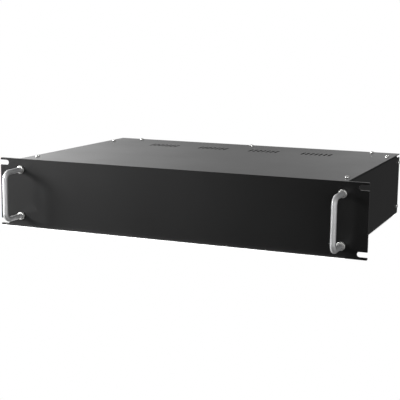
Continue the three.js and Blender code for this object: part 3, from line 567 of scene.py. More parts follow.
# %% [markdown]
# A round part is a profile turned about its axis, as on a lathe. The profile is a list of radii and
# distances along the axis, and a radius of nought closes the end with one point.

# %% Turned shapes
def turned(bm, profile, at=(0, 0, 0), axis="Z", segments=48):
    """Turns a profile of (radius, distance along the axis) pairs, in millimetres, into a closed solid."""
    turn = Matrix.Rotation(math.radians(-90), 4, "X") if axis == "Y" else Matrix()
    place = Matrix.Translation(at) @ turn
    angles = [2 * math.pi * i / segments for i in range(segments)]
    rings = []
    for radius, distance in profile:
        if radius == 0:
            rings.append([bm.verts.new(place @ Vector((0, 0, distance * mm)))])
            continue
        ring = [Vector((radius * math.cos(a), radius * math.sin(a), distance)) * mm for a in angles]
        rings.append([bm.verts.new(place @ v) for v in ring])
    for low, high in zip(rings, rings[1:]):
        for i in range(segments):
            j = (i + 1) % segments
            ends = [low[i % len(low)], low[j % len(low)], high[j % len(high)], high[i % len(high)]]
            bm.faces.new(list(dict.fromkeys(ends)))


def quarter_round(radius, height, corner, steps=6):
    """The points of a convex quarter circle in a profile, from its outer side to its top."""
    angles = np.linspace(0, math.pi / 2, steps)
    return [(radius - corner + corner * math.cos(a), height - corner + corner * math.sin(a)) for a in angles]


print("a 2 mm corner on a 10 mm disc:", [round(float(r), 2) for r, _ in quarter_round(10, 5, 2, 3)])


# %% [markdown]
# A rod, a wire or a cable is a circle carried along a line with rounded corners. Each ring of the tube
# keeps the turn of the one before, so that the tube doesn't twist, and the UV map follows it for finishes
# with grain.

# %% Rods, wires and boxes
def rounded_line(points, radius, steps=8):
    """The points of a line whose corners are arcs, in millimetres."""
    points = [Vector(p) for p in points]
    line = [points[0]]
    for before, corner, after in zip(points, points[1:], points[2:]):
        arriving, leaving = (corner - before).normalized(), (after - corner).normalized()
        turn = arriving.angle(leaving)
        inward = (leaving - arriving * leaving.dot(arriving)).normalized()
        start = corner - arriving * radius * math.tan(turn / 2)
        for i in range(steps + 1):
            a = turn * i / steps
            line.append(start + arriving * radius * math.sin(a) + inward * radius * (1 - math.cos(a)))
    return line + [points[-1]]


def swept(bm, line, radius, sides):
    """Carries a circle along a line, with a UV map: U round the rod, V along it in millimetres."""
    uv = bm.loops.layers.uv.verify()
    tangents = [(b - a).normalized() for a, b in zip(line, line[1:])]
    tangents = [tangents[0]] + [(a + b).normalized() for a, b in zip(tangents, tangents[1:])] + [tangents[-1]]
    side = tangents[0].orthogonal().normalized()
    angles = [2 * math.pi * k / sides for k in range(sides)]
    rings, lengths = [], [0.0]
    for i, (point, tangent) in enumerate(zip(line, tangents)):
        side = (side - tangent * side.dot(tangent)).normalized()
        other = tangent.cross(side)
        spokes = [(side * math.cos(a) + other * math.sin(a)) * radius for a in angles]
        rings.append([bm.verts.new((point + spoke) * mm) for spoke in spokes])
        if i:
            lengths.append(lengths[-1] + (point - line[i - 1]).length)
    for i, (low, high) in enumerate(zip(rings, rings[1:])):
        for k in range(sides):
            n = (k + 1) % sides
            face = bm.faces.new((low[k], low[n], high[n], high[k]))
            spots = ((k, i), (k + 1, i), (k + 1, i + 1), (k, i + 1))
            for loop, (u, v) in zip(face.loops, spots):
                loop[uv].uv = (u / sides, lengths[v] / 10)
    bm.faces.new(list(reversed(rings[0])))
    bm.faces.new(rings[-1])


def slab(bm, low, high):
    """A box between two corners, in metres."""
    size = Vector(high) - Vector(low)
    place = Matrix.Translation((Vector(low) + Vector(high)) / 2) @ Matrix.Diagonal((*size, 1))
    return bmesh.ops.create_cube(bm, size=1, matrix=place)["verts"]


print("points round a square corner:", len(rounded_line([(0, 0, 0), (20, 0, 0), (20, 20, 0)], 5)))


# %% [markdown]
# The front panel is a milled aluminium plate with slotted ears. The case behind it is a folded tray and a
# rear panel with flanges. All three get softened edges from their measured solids.

# %% Front panel, tray and rear panel
softened("front_panel", 0.45, [panel_paint], "black_paint")
softened("chassis_tray", 0.25, [case_paint], "black_paint")
rear_rounds = ["fan_frame_left", "fan_frame_right", "breaker_button", "test_button"]
rear = softened("rear_panel", 0.25, [case_paint], "black_paint", round_about=rear_rounds)
print("rear panel faces:", len(rear.data.polygons))


# %% [markdown]
# Much of the case is the same small shape many times over: slits in the cover, screws, fan guards, blades.
# `Recipe` writes a Geometry Nodes tree in one place: named inputs with the sizes in metres, then the nodes,
# then the result as a plain mesh. Changing an input changes every copy, and nothing is placed by hand.

# %% Geometry Nodes: recipes
class Recipe(Tree):
    """A Geometry Nodes tree with named inputs, run on a holder to give a plain mesh."""

    KINDS = {float: "NodeSocketFloat", int: "NodeSocketInt"}

    def __init__(self, name, **sizes):
        super().__init__(bpy.data.node_groups.new(name, "GeometryNodeTree"))
        for in_out in ("INPUT", "OUTPUT"):
            self.tree.interface.new_socket("Geometry", in_out=in_out, socket_type="NodeSocketGeometry")
        self.values = {}
        for key, value in sizes.items():
            kind = self.KINDS.get(type(value), "NodeSocketObject")
            item = self.tree.interface.new_socket(key, in_out="INPUT", socket_type=kind)
            self.values[item.identifier] = value
        self.inputs = self.tree.nodes.new("NodeGroupInput")

    def size(self, key):
        return Link(self, self.inputs.outputs[key])

    def holder(self):
        """The points that the recipe runs on."""
        return Link(self, self.inputs.outputs["Geometry"])

    def node(self, kind, settings=None, output=0, **inputs):
        """A geometry node whose inputs are written with underscores for spaces."""
        spaced = {key.replace("_", " "): value for key, value in inputs.items()}
        return self.add("GeometryNode" + kind, settings, spaced, output)

    def combine(self, x=0.0, y=0.0, z=0.0):
        return self.add("ShaderNodeCombineXYZ", {}, {0: x, 1: y, 2: z})

    def moved(self, shape, x=0.0, y=0.0, z=0.0, turn=(0, 0, 0)):
        return self.node("Transform", Geometry=shape, Translation=self.combine(x, y, z), Rotation=turn)

    def row(self, count, step, shape):
        """Copies of a shape along X, `step` apart, with their middle at the origin."""
        line = self.node("MeshLine", {"mode": "OFFSET"}, Count=count, Offset=self.combine(x=step))
        line = self.moved(line, x=(1 - count) * step * 0.5)
        return self.node("InstanceOnPoints", Points=line, Instance=shape)

    def rounded(self, width, height, corner, count):
        """A rectangle with round corners, as a curve on the XY plane."""
        outline = self.node("CurvePrimitiveQuadrilateral", Width=width, Height=height)
        return self.node("FilletCurve", {"mode": "POLY"}, Curve=outline, Radius=corner, Count=count)

    def joined(self, *parts):
        join = self.tree.nodes.new("GeometryNodeJoinGeometry")
        for part in reversed(parts):
            self.tree.links.new(part.socket, join.inputs[0])
        return Link(self, join.outputs[0])

    def thick(self, curves, thickness):
        """Fills flat curves and gives them thickness upwards. The result is closed."""
        flat = self.node("FillCurve", Curve=curves)
        under = self.node("FlipFaces", Mesh=flat)
        up = {"Mesh": flat, "Offset": (0, 0, 1), "Offset Scale": thickness, "Individual": False}
        raised = self.add("GeometryNodeExtrudeMesh", {"mode": "FACES"}, up)
        return self.node("MergeByDistance", Geometry=self.joined(raised, under), Distance=0.001 * mm)

    def run(self, result, finish, points=(), turns=None):
        """Ends the tree, runs it on the given points and returns the mesh."""
        real = self.node("RealizeInstances", Geometry=result)
        done = self.node("SetMaterial", Geometry=real, Material=finish)
        out = self.tree.nodes.new("NodeGroupOutput")
        self.tree.links.new(done.socket, out.inputs["Geometry"])
        mesh = bpy.data.meshes.new("holder")
        mesh.from_pydata([tuple(p) for p in points], [], [])
        if turns:
            turn = mesh.attributes.new("turn", "FLOAT_VECTOR", "POINT")
            turn.data.foreach_set("vector", [angle for t in turns for angle in t])
        holder = scratch(mesh, "holder")
        modifier = holder.modifiers.new("recipe", "NODES")
        modifier.node_group = self.tree
        for identifier, value in self.values.items():
            modifier[identifier] = value
        return evaluated(holder)


print("a recipe adds:", [name for name in vars(Recipe) if name[0].islower()])


# %% [markdown]
# The cover is one flat sheet with four groups of punched slits. A texture of slits would not let light
# through, so the nodes draw one slit with round ends, repeat it in a row, repeat the row across the sheet,
# and fill between the outline and the holes before the sheet is given its thickness. The screw holes come
# from points.

# %% The perforated cover
cover_screws = along(("left_front", "left_rear", "right_front", "right_rear"), "cover_screw")
cover_screws += along(("left", "middle", "right"), "cover_screw_rear")
side_screws = along(("lower", "upper"), "side_screw_left", "side_screw_right")


def perforated_cover():
    cover = Recipe(
        "perforated_cover",
        Width=cover_high.x - cover_low.x, Depth=cover_high.y - cover_low.y,
        Middle=(cover_low.y + cover_high.y) / 2, Base=cover_low.z, Thickness=cover_high.z - cover_low.z,
        Corner=1 * mm, Hole_Radius=1.8 * mm,
        Slit_Width=2.8 * mm, Slit_Length=22 * mm, Slit_Pitch=6.3 * mm, Slits=7,
        Groups=4, Group_Pitch=76 * mm, Vents_Middle=rear_face - 64 * mm,
    )
    size = cover.size
    outline = cover.moved(cover.rounded(size("Width"), size("Depth"), size("Corner"), 3), y=size("Middle"))
    slit = cover.rounded(size("Slit_Width"), size("Slit_Length"), size("Slit_Width") * 0.499, 5)
    group = cover.row(size("Slits"), size("Slit_Pitch"), slit)
    vents = cover.moved(cover.row(size("Groups"), size("Group_Pitch"), group), y=size("Vents_Middle"))
    ring = cover.node("CurvePrimitiveCircle", Resolution=20, Radius=size("Hole_Radius"))
    points = cover.node("MeshToPoints", Mesh=cover.holder())
    holes = cover.node("InstanceOnPoints", Points=points, Instance=ring)
    lines = cover.node("RealizeInstances", Geometry=cover.joined(outline, vents, holes))
    sheet = cover.moved(cover.thick(lines, size("Thickness")), z=size("Base"))
    places = [(middle(node).x, middle(node).y, 0) for node in cover_screws]
    return cover.run(sheet, cover_paint, places)


cover_mesh = bevelled(mesh_from(whole(perforated_cover(), slivers=True), "top_cover"), 0.18)
new_piece("top_cover_fine", cover_mesh, [cover_paint], slot="cover_paint", stands_for=("top_cover",))
print("cover faces:", len(cover_mesh.polygons))


# %% [markdown]
# Eleven pan-head screws hold the cover and the rear panel. A cold-headed screw has a low dome with a soft
# shoulder, and a cross recess that a tapered punch leaves. The recess is cut once, in a master screw.

# %% A screw
def screw_master(head, height, shank, length):
    """A screw along +Z whose head stands on Z = 0, with sizes in millimetres."""
    angles = np.linspace(0, math.pi / 2, 7)[1:-1]
    crown = [(head * math.cos(a), height * (0.3 + 0.7 * math.sin(a))) for a in angles]
    profile = [(0, -length), (shank * 0.8, -length), (shank, 0.6 - length), (shank, 0.05)]
    bm = bmesh.new()
    turned(bm, profile + [(head - 0.15, 0.05), (head, 0.2)] + crown + [(0, height)], segments=28)
    screw = scratch(closed(bm, "screw", 35))
    half, thin = head * 0.56 * mm, head * 0.13 * mm
    tool = bmesh.new()
    for turn in (0, math.pi / 2):
        arm = slab(tool, (-half, -thin, height * 0.3 * mm), (half, thin, height * 1.05 * mm))
        bmesh.ops.rotate(tool, verts=arm, matrix=Matrix.Rotation(turn, 3, "Z"))
        for v in arm:
            if v.co.z < height * 0.5 * mm:
                v.co = Vector((v.co.x * 0.5, v.co.y * 0.5, v.co.z))
    punch = scratch(mesh_from(tool, "punch"))
    recess = screw.modifiers.new("recess", "BOOLEAN")
    recess.object = punch
    recess.operation = "DIFFERENCE"
    recess.solver = "EXACT"
    recess.use_self = True
    mesh = evaluated(screw)
    bpy.data.objects.remove(punch)
    mesh.shade_smooth()
    mesh.set_sharp_from_angle(angle=math.radians(35))
    return scratch(mesh, "screw_master")


case_screw = screw_master(3, 2, 1.5, 7)
print("faces in a case screw:", len(case_screw.data.polygons))


# %% [markdown]
# The nodes set one master on every point, turn it to the point's own direction and spin it about its axis
# by a random angle from a fixed seed, since no two screws stop at the same angle.

# %% The case screws
def fixings(name, master, points, turns, finish, seed, stands_for=(), slot="plated_steel"):
    """Copies of a master on points: each turned to its own direction, and spun at random about its axis."""
    recipe = Recipe(name, Master=master, Seed=seed)
    turn = recipe.node("InputNamedAttribute", {"data_type": "FLOAT_VECTOR"}, Name="turn")
    shape = recipe.node("ObjectInfo", output=4, Object=recipe.size("Master"))
    points_in = recipe.node("MeshToPoints", Mesh=recipe.holder())
    copies = recipe.node("InstanceOnPoints", Points=points_in, Instance=shape, Rotation=turn)
    limits = {2: 0.0, 3: 2 * math.pi, "Seed": recipe.size("Seed")}
    spin = recipe.add("FunctionNodeRandomValue", {"data_type": "FLOAT"}, limits, 1)
    spun = recipe.node("RotateInstances", Instances=copies, Rotation=recipe.combine(z=spin), Local_Space=True)
    mesh = recipe.run(spun, finish, points, turns)
    bpy.data.objects.remove(master)
    return new_piece(name, mesh, [finish], slot=slot, stands_for=stands_for)


UP, FRONT, REAR = (0, 0, 0), (math.pi / 2, 0, 0), (-math.pi / 2, 0, 0)
LEFT, RIGHT = (0, -math.pi / 2, 0), (0, math.pi / 2, 0)
side_out = corners("chassis_tray")[1].x
points = [(middle(n).x, middle(n).y, cover_high.z) for n in cover_screws]
points += [(math.copysign(side_out, middle(n).x), middle(n).y, middle(n).z) for n in side_screws]
turns = [UP] * len(cover_screws) + [LEFT if "left" in n else RIGHT for n in side_screws]
cover_and_side = cover_screws + side_screws
fixings("case_screws", case_screw, points, turns, screw_plate, 4, cover_and_side)
print("case screws:", len(points))


# %% [markdown]
# A handle is a bright round rod bent twice, and each leg stands in a turned ferrule with a soft edge. The
# rods are carried along their centre lines, so that the drawn lines of the metal can follow the bends.

# %% The handles and their ferrules
for side in ("left", "right"):
    low, high = corners(f"handle_{side}")
    x = (low.x + high.x) / 2 / mm
    radius = (high.x - low.x) / 2 / mm
    grip, foot = low.y / mm + radius, high.y / mm
    bottom, top = low.z / mm + radius, high.z / mm - radius
    line = rounded_line([(x, foot, bottom), (x, grip, bottom), (x, grip, top), (x, foot, top)], 9, 12)
    bm = bmesh.new()
    swept(bm, line, radius, 40)
    handle = mesh_from(bm, f"handle_{side}", 50)
    new_piece(
        f"handle_{side}_rod", handle, [rod_metal], slot="satin_aluminium", stands_for=(f"handle_{side}",),
    )
    print("handle", side, "rod radius:", round(radius, 2), "mm")

ferrules = along(("lower", "upper"), "handle_collar_left", "handle_collar_right")
bm = bmesh.new()
soft_edge = quarter_round(5.1, 2.6, 0.9)
ring = [(3.25, 0.1), (4.85, 0.1), (5.1, 0.35)] + soft_edge + [(3.45, 2.6), (3.25, 2.4), (3.25, 0.1)]
turned(bm, ring, segments=40)
ferrule_master = scratch(closed(bm, "ferrule", 35))
points = [(middle(node).x, panel_face, middle(node).z) for node in ferrules]
fixings("handle_ferrules", ferrule_master, points, [FRONT] * 4, ferrule_metal, 2, ferrules, "satin_aluminium")
print("ferrules:", len(points))


# %% [markdown]
# The feet are small rubber discs, and a screw through the recess in each one would hold it. They show only
# as a thin shadow gap under the front edge.

# %% The feet
feet = along(("left", "right"), "foot_front", "foot_rear")
bm = bmesh.new()
recess = [(0, 1.6), (3.2, 1.6), (3.5, 0.2), (3.9, 0)]
outside = [(6.8, 0), (7.6, 0.25), (8, 1), (8, 3.65)]
peg = [(2.5, 3.65), (2.5, 4.85), (0, 4.85)]
turned(bm, recess + outside + peg, segments=40)
foot_master = scratch(closed(bm, "foot", 35))
points = [(middle(node).x, middle(node).y, 0) for node in feet]
fixings("rubber_feet", foot_master, points, [UP] * 4, foot_rubber, 3, feet, "foot_rubber")
print("feet:", len(points))


# %% [markdown]
# Everything a cable plugs into is at the rear. Moulded connectors have crisp flanges, deep cavities and
# metal contacts, so their measured solids get softened edges, and faces that belong to a pin are given its
# metal. The socket contacts are folded strips, set in every slot by the nodes.

# %% The mains inlet, the outlets and their contacts
inlet_middle, outlet_middle = middle("mains_inlet"), middle("outlet_block")
pin_places = [(-7, -2), (0, 2), (7, -2)]


def is_pin(point):
    """Whether a point of the inlet lies on one of its three pins."""
    x, z = (point.x - inlet_middle.x) / mm, (point.z - inlet_middle.z) / mm
    near = any(abs(x - px) < 1.2 and abs(z - pz) < 2.2 for px, pz in pin_places)
    return int(near and rear_face - 12 * mm < point.y < rear_face)


softened("mains_inlet", 0.25, [black_plastic, nickel], "black_plastic", sort=is_pin)
softened("outlet_block", 0.25, [black_plastic], "black_plastic")


def socket_contacts():
    """A folded strip on each long side of every slot."""
    contacts = Recipe("socket_contacts", Width=0.35 * mm, Height=4.4 * mm, Depth=10 * mm, Gap=1.75 * mm)
    size = contacts.size
    strip = contacts.node("MeshCube", Size=contacts.combine(size("Width"), size("Depth"), size("Height")))
    pair = contacts.row(2, size("Gap"), strip)
    points = contacts.node("MeshToPoints", Mesh=contacts.holder())
    copies = contacts.node("InstanceOnPoints", Points=points, Instance=pair)
    sockets = [(36 * column, 30 * row) for column in (-1, 0, 1) for row in (-0.5, 0.5)]
    places = [
        outlet_middle + Vector(((x + px) * mm, 0, (z + pz) * mm)) for x, z in sockets for px, pz in pin_places
    ]
    return contacts.run(copies, brass, [(place.x, rear_face - 6.7 * mm, place.z) for place in places])


outlet_contacts = new_piece("outlet_contacts", socket_contacts(), [brass], slot="plated_steel")
print("contact strips:", len(outlet_contacts.data.polygons) // 6)


# %% [markdown]
# The data port block has a network jack with eight gilt springs and a latch notch, and a smaller serial
# jack. Gilt springs slope down into the jack, which catches the light as a fine comb.

# %% The data ports
softened("port_block", 0.2, [black_plastic], "black_plastic")
port_middle = middle("port_block")


def jack_springs():
    springs = Recipe(
        "jack_springs", Springs=8, Pitch=1.05 * mm, Width=0.45 * mm, Length=8.5 * mm, Thickness=0.2 * mm,
    )
    size = springs.size
    wire = springs.node("MeshCube", Size=springs.combine(size("Width"), size("Length"), size("Thickness")))
    comb = springs.row(size("Springs"), size("Pitch"), springs.moved(wire, turn=(math.radians(-18), 0, 0)))
    points = springs.node("MeshToPoints", Mesh=springs.holder())
    copies = springs.node("InstanceOnPoints", Points=points, Instance=comb)
    network = (port_middle.x, rear_face - 6 * mm, port_middle.z + 9.6 * mm)
    return springs.run(copies, brass, [network])


network_springs = new_piece("jack_springs", jack_springs(), [brass], slot="plated_steel")
print("springs:", len(network_springs.data.polygons) // 6)


# %% [markdown]
# The power switch is a red rocker with the usual line and ring moulded in white, and it turns with its own
# body. The breaker's button and the test button move too, so each is a piece of its own.

# %% The switch, the breaker and the test button
softened("power_switch_housing", 0.3, [black_plastic], "black_plastic")
softened("power_switch_rocker", 0.35, [switch_red], "red_plastic", "switch_rocker")
softened("breaker_housing", 0.25, [black_plastic], "black_plastic", round_about=["breaker_button"])
softened("breaker_nut", 0.3, [nickel], "plated_steel", round_about=["breaker_button"])
softened("test_button_housing", 0.3, [black_plastic], "black_plastic", round_about=["test_button"])
for button, body in (("breaker_button", "reset_button"), ("test_button", "self_test_button")):
    softened(button, 0.35, [button_grey], "grey_plastic", body, round_about=[button])


def rocker_marks():
    """A bar on the lower half of the rocker's face and a ring on the upper one, a hair above the plastic."""
    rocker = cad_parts["power_switch_rocker"].data
    centre = middle("power_switch_rocker")
    bm = bmesh.new()
    for half, mark in ((-1, "bar"), (1, "ring")):
        faces = [f for f in rocker.polygons if f.normal.y > 0.7 and abs(f.normal.x) < 0.1]
        faces = [f for f in faces if (f.center.z - centre.z) * half > 0]
        face = max(faces, key=lambda f: f.area)
        normal = face.normal.copy()
        spots = [rocker.vertices[i].co for f in faces if f.normal.dot(normal) > 0.999 for i in f.vertices]
        at = (Vector(map(min, zip(*spots))) + Vector(map(max, zip(*spots)))) / 2
        up = Vector((0, -normal.z, normal.y))
        place = Matrix((Vector((1, 0, 0)), up, normal)).transposed().to_4x4()
        place.translation = at + normal * 0.02 * mm
        start = len(bm.verts)
        if mark == "bar":
            slab(bm, (-0.35 * mm, -1.9 * mm, -0.1 * mm), (0.35 * mm, 1.9 * mm, 0.02 * mm))
        else:
            turned(bm, [(1.3, -0.1), (1.9, -0.1), (1.9, 0.02), (1.3, 0.02), (1.3, -0.1)], segments=32)
        bm.verts.ensure_lookup_table()
        bmesh.ops.transform(bm, matrix=place, verts=bm.verts[start:])
    return closed(bm, "rocker_marks")


marks = new_piece("rocker_marks", rocker_marks(), [mark_white], "switch_rocker", "grey_plastic")
print("faces in the rocker's marks:", len(marks.data.polygons))


# %% [markdown]
# Each fan has a square frame with three struts, a rotor with seven curved blades and a wire guard outside.
# A blade is a small grid of points, cambered like a wing, twisted from hub to tip and closed round its
# edge.

# %% The fan frames and a blade
fan_sides = ("left", "right")
for side in fan_sides:
    softened(f"fan_frame_{side}", 0.35, [black_plastic], "black_plastic", round_about=[f"fan_frame_{side}"])


def blade_master(root, tip, chord):
    """One blade from the hub out along +X, cambered and twisted, with sizes in millimetres."""
    bm = bmesh.new()
    grid = []
    for i in range(9):
        share = i / 8
        reach = root + (tip - root) * share
        pitch = math.radians(50 - 18 * share)
        width = chord * (0.86 + 0.14 * share)
        row = []
        for k in range(9):
            along_chord = k / 8 - 0.5
            camber = 1.6 * (0.25 - along_chord * along_chord)
            across = Vector((0, along_chord * width, camber))
            across.rotate(Matrix.Rotation(pitch, 3, "X"))
            row.append((Vector((reach, 0, 0)) + across) * mm)
        grid.append(row)
    thick = Vector((0, 0.25, 0.3)) * mm
    layers = [[[bm.verts.new(v + thick * s) for v in row] for row in grid] for s in (-1, 1)]
    under, over = layers
    for i in range(8):
        for k in range(8):
            bm.faces.new((under[i][k], under[i][k + 1], under[i + 1][k + 1], under[i + 1][k]))
            bm.faces.new((over[i][k], over[i + 1][k], over[i + 1][k + 1], over[i][k + 1]))
    edge = [(i, 0) for i in range(8)] + [(8, k) for k in range(8)] + [(i, 8) for i in range(8, 0, -1)]
    edge += [(0, k) for k in range(8, 0, -1)]
    for (a, b), (c, d) in zip(edge, edge[1:] + edge[:1]):
        bm.faces.new((under[a][b], under[c][d], over[c][d], over[a][b]))
    return scratch(closed(bm, "blade", 60), "blade")


fan_blade = blade_master(12, 27.4, 15.5)
print("faces in a blade:", len(fan_blade.data.polygons))


# %% [markdown]
# The nodes set seven blades round each fan's axis, and the hub is turned as one shape with them, because a
# real rotor is moulded in one piece. Each rotor rides on its own body, so that it can spin.

# %% The rotors
for side in fan_sides:
    low, high = corners(f"fan_rotor_{side}")
    frame_middle = middle(f"fan_frame_{side}")
    rotor = Recipe("fan_blades", Blade=fan_blade, Blades=7)
    ring = rotor.node("MeshCircle", Vertices=rotor.size("Blades"), Radius=0.0)
    step = rotor.add("GeometryNodeInputIndex") * (2 * math.pi) / rotor.size("Blades")
    blade = rotor.node("ObjectInfo", output=4, Object=rotor.size("Blade"))
    blades = rotor.node("InstanceOnPoints", Points=ring, Instance=blade, Rotation=rotor.combine(y=step))
    place = Vector((frame_middle.x, (low.y + high.y) / 2 + 1.2 * mm, frame_middle.z))
    blades = rotor.moved(blades, *place)
    bm = bmesh.new()
    bm.from_mesh(rotor.run(blades, black_plastic))
    front, back = (low.y - place.y) / mm, (high.y - place.y) / mm
    shaft = [(0, front), (1.5, front), (1.5, front + 3), (11.5, front + 3)]
    cup = [(12.4, front + 3.9), (12.4, back - 1.6), (12, back - 0.6), (11.2, back - 0.2)]
    end = [(9, back - 0.2), (8.7, back - 0.45), (0, back - 0.45)]
    turned(bm, shaft + cup + end, place, "Y")
    mesh, node = closed(bm, "fan_rotor", 50), f"fan_rotor_{side}"
    new_piece(f"{node}_fine", mesh, [black_plastic], f"{side}_fan", "black_plastic", (node,))
    print(node, "faces:", len(mesh.polygons))
bpy.data.objects.remove(fan_blade)


# %% [markdown]
# A wire guard is three rings and two crossed wires, which end in eyes for the screws. All of it is drawn as
# curves, and one node carries a round wire along every curve at once.

# %% The wire guards and the rear screws
def fan_guards():
    guard = Recipe(
        "fan_guards", Wire=0.8 * mm, Rings=3, First=9.15 * mm, Step=8.58 * mm, Reach=35.36 * mm, Eye=3.0 * mm,
    )
    size = guard.size
    steps = guard.node("MeshLine", {"mode": "OFFSET"}, Count=size("Rings"), Offset=(0, 0, 0))
    circle = guard.node("CurvePrimitiveCircle", Resolution=56, Radius=1.0)
    radius = guard.add("GeometryNodeInputIndex") * size("Step") + size("First")
    scale = guard.combine(radius, radius, radius)
    rings = guard.node("InstanceOnPoints", Points=steps, Instance=circle, Scale=scale)
    left_end = guard.combine(x=size("Eye") - size("Reach"))
    right_end = guard.combine(x=size("Reach") - size("Eye"))
    wire = guard.node("CurvePrimitiveLine", Start=left_end, End=right_end)
    crossed = [guard.moved(wire, turn=(0, 0, math.radians(angle))) for angle in (45, 135)]
    eye = guard.moved(guard.node("CurvePrimitiveCircle", Resolution=20, Radius=size("Eye")), x=size("Reach"))
    eyes = [guard.moved(eye, turn=(0, 0, math.radians(angle))) for angle in (45, 135, 225, 315)]
    lines = guard.node("RealizeInstances", Geometry=guard.joined(rings, *crossed, *eyes))
    profile = guard.node("CurvePrimitiveCircle", Resolution=10, Radius=size("Wire"))
    sweep = {"Curve": lines, "Profile Curve": profile, "Fill Caps": True}
    wires = guard.add("GeometryNodeCurveToMesh", {}, sweep)
    stood = guard.moved(wires, turn=(math.pi / 2, 0, 0))
    points = guard.node("MeshToPoints", Mesh=guard.holder())
    copies = guard.node("InstanceOnPoints", Points=points, Instance=stood)
    return guard.run(copies, screw_plate, [(at.x, rear_face + 0.87 * mm, at.z) for at in fan_middles])


guard_nodes = along(fan_sides, "fan_guard")
fan_middles = [middle(node) for node in guard_nodes]
new_piece("fan_guards_fine", fan_guards(), [screw_plate], slot="plated_steel", stands_for=guard_nodes)
half_pitch, guard_face = 25 * mm, rear_face + 1.7 * mm
holes = [(dx * half_pitch, dz * half_pitch) for dx in (-1, 1) for dz in (-1, 1)]
points = [(at.x + dx, guard_face, at.z + dz) for at in fan_middles for dx, dz in holes]
inlet_face = corners("mains_inlet")[1].y
points += [(inlet_middle.x + dx * 20 * mm, inlet_face, inlet_middle.z) for dx in (-1, 1)]
fixings("rear_screws", screw_master(2.8, 1.6, 1.45, 4), points, [REAR] * len(points), screw_plate, 7)
print("rear screws:", len(points))


# %% [markdown]
# The earth stud is a threaded bolt with a hexagonal nut against a toothed washer, so that the green and
# yellow earth wire of a rack can be clamped under a second nut.

# %% The earth stud
low, high = corners("earth_stud")
centre = (low + high) / 2
inner_end, outer_end = low.y / mm, high.y / mm
crest, root, pitch = 2.5, 2.1, 0.6
bm = bmesh.new()
thread = [(0, inner_end), (4.6, inner_end), (4.6, inner_end + 1.9), (crest, inner_end + 2)]
reach = rear_face / mm
while reach < outer_end - 0.9:
    thread += [(crest, reach), (root, reach + pitch / 2)]
    reach += pitch
thread += [(crest, outer_end - 0.8), (2.0, outer_end - 0.05), (0, outer_end - 0.05)]
turned(bm, thread, (centre.x, 0, centre.z), "Y", 32)
nut = [(2.55, 1.3), (4.5, 1.3), (4.9, 1.7), (4.9, 4.3), (4.5, 4.7), (2.55, 4.7), (2.55, 1.3)]
turned(bm, nut, (centre.x, rear_face, centre.z), "Y", 6)
washer = [(2.55, 0.1), (5.4, 0.1), (5.4, 1.1), (2.55, 1.1), (2.55, 0.1)]
turned(bm, washer, (centre.x, rear_face, centre.z), "Y", 36)
stud = closed(bm, "earth_stud", 30)
new_piece("earth_stud_fine", stud, [nickel], slot="zinc_steel", stands_for=("earth_stud",))
print("turns of thread:", round((outer_end - rear_face / mm) / pitch))


# %% [markdown]
# The inside shows only through the slits and the fans, so its pieces are simpler but still true to how they
# are made. A sealed lead-acid battery is a grey jar with a darker lid welded on and two tin tabs. The
# transformer is a stack of plates round a taped coil.

# %% Batteries, transformer and bracket
def battery_part(point):
    """0 for the jar, 1 for the lid and 2 for the two terminals."""
    behind_the_face = battery_face - point.y
    if behind_the_face < 0.02 * mm:
        return 2
    return int(behind_the_face < 9.01 * mm)


battery_face = corners("battery_1")[1].y - 6.5 * mm
for node in ("battery_1", "battery_2"):
    softened(node, 0.5, [jar_grey, lid_dark, nickel], "battery_plastic", sort=battery_part)
softened("battery_bracket", 0.25, [zinc_sheet], "zinc_steel")
softened("transformer_core", 0.2, [core_steel], "core_steel")
core = softened("transformer_winding", 1.2, [tape_yellow], "winding_tape")
print("winding:", [round(side / mm) for side in core.dimensions], "mm")


# %% [markdown]
# Three short leads join the batteries and the board. Each is a smooth tube along the middle of its measured
# route, and its bends are three or four times as wide as the lead, as a stiff lead takes them.

# %% The battery leads
lead_radius, lead_bend = 2.15, 7
middle_in = 2.2


def lead(node, line, finish, slot):
    """A round lead along a line in millimetres."""
    bm = bmesh.new()
    swept(bm, rounded_line(line, lead_bend, 10), lead_radius, 18)
    new_piece(f"{node}_cable", mesh_from(bm, node, 60), [finish], slot=slot, stands_for=(node,))
    print(node, "route:", [tuple(round(v) for v in point) for point in line])


low, high = (v / mm for v in corners("battery_jumper_lead"))
front, back, height = low.y, high.y - middle_in, (low.z + high.z) / 2
left, right = low.x + middle_in, high.x - middle_in
loop = [(left, front, height), (left, back, height), (right, back, height), (right, front, height)]
lead("battery_jumper_lead", loop, cable_black, "black_cable")
pair = {
    "battery_lead_positive": (cable_red, "red_cable"), "battery_lead_negative": (cable_black, "black_cable"),
}
for node, (finish, slot) in pair.items():
    low, high = (v / mm for v in corners(node))
    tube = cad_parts[node].data.vertices
    start = [v.co.x / mm for v in tube if v.co.y / mm < low.y + 0.1]
    start_x = (min(start) + max(start)) / 2
    end_x = high.x - middle_in if start_x < (low.x + high.x) / 2 else low.x + middle_in
    over, height = high.y - middle_in, high.z - middle_in
    line = [(start_x, low.y, height), (start_x, over, height), (end_x, over, height), (end_x, over, low.z)]
    lead(node, line, finish, slot)


# %% [markdown]
# The inverter board carries a finned heat sink, two large capacitors, a relay and a control card that
# stands on edge. A capacitor is an aluminium can in a shrunk sleeve, with a groove that holds the rubber
# bung.

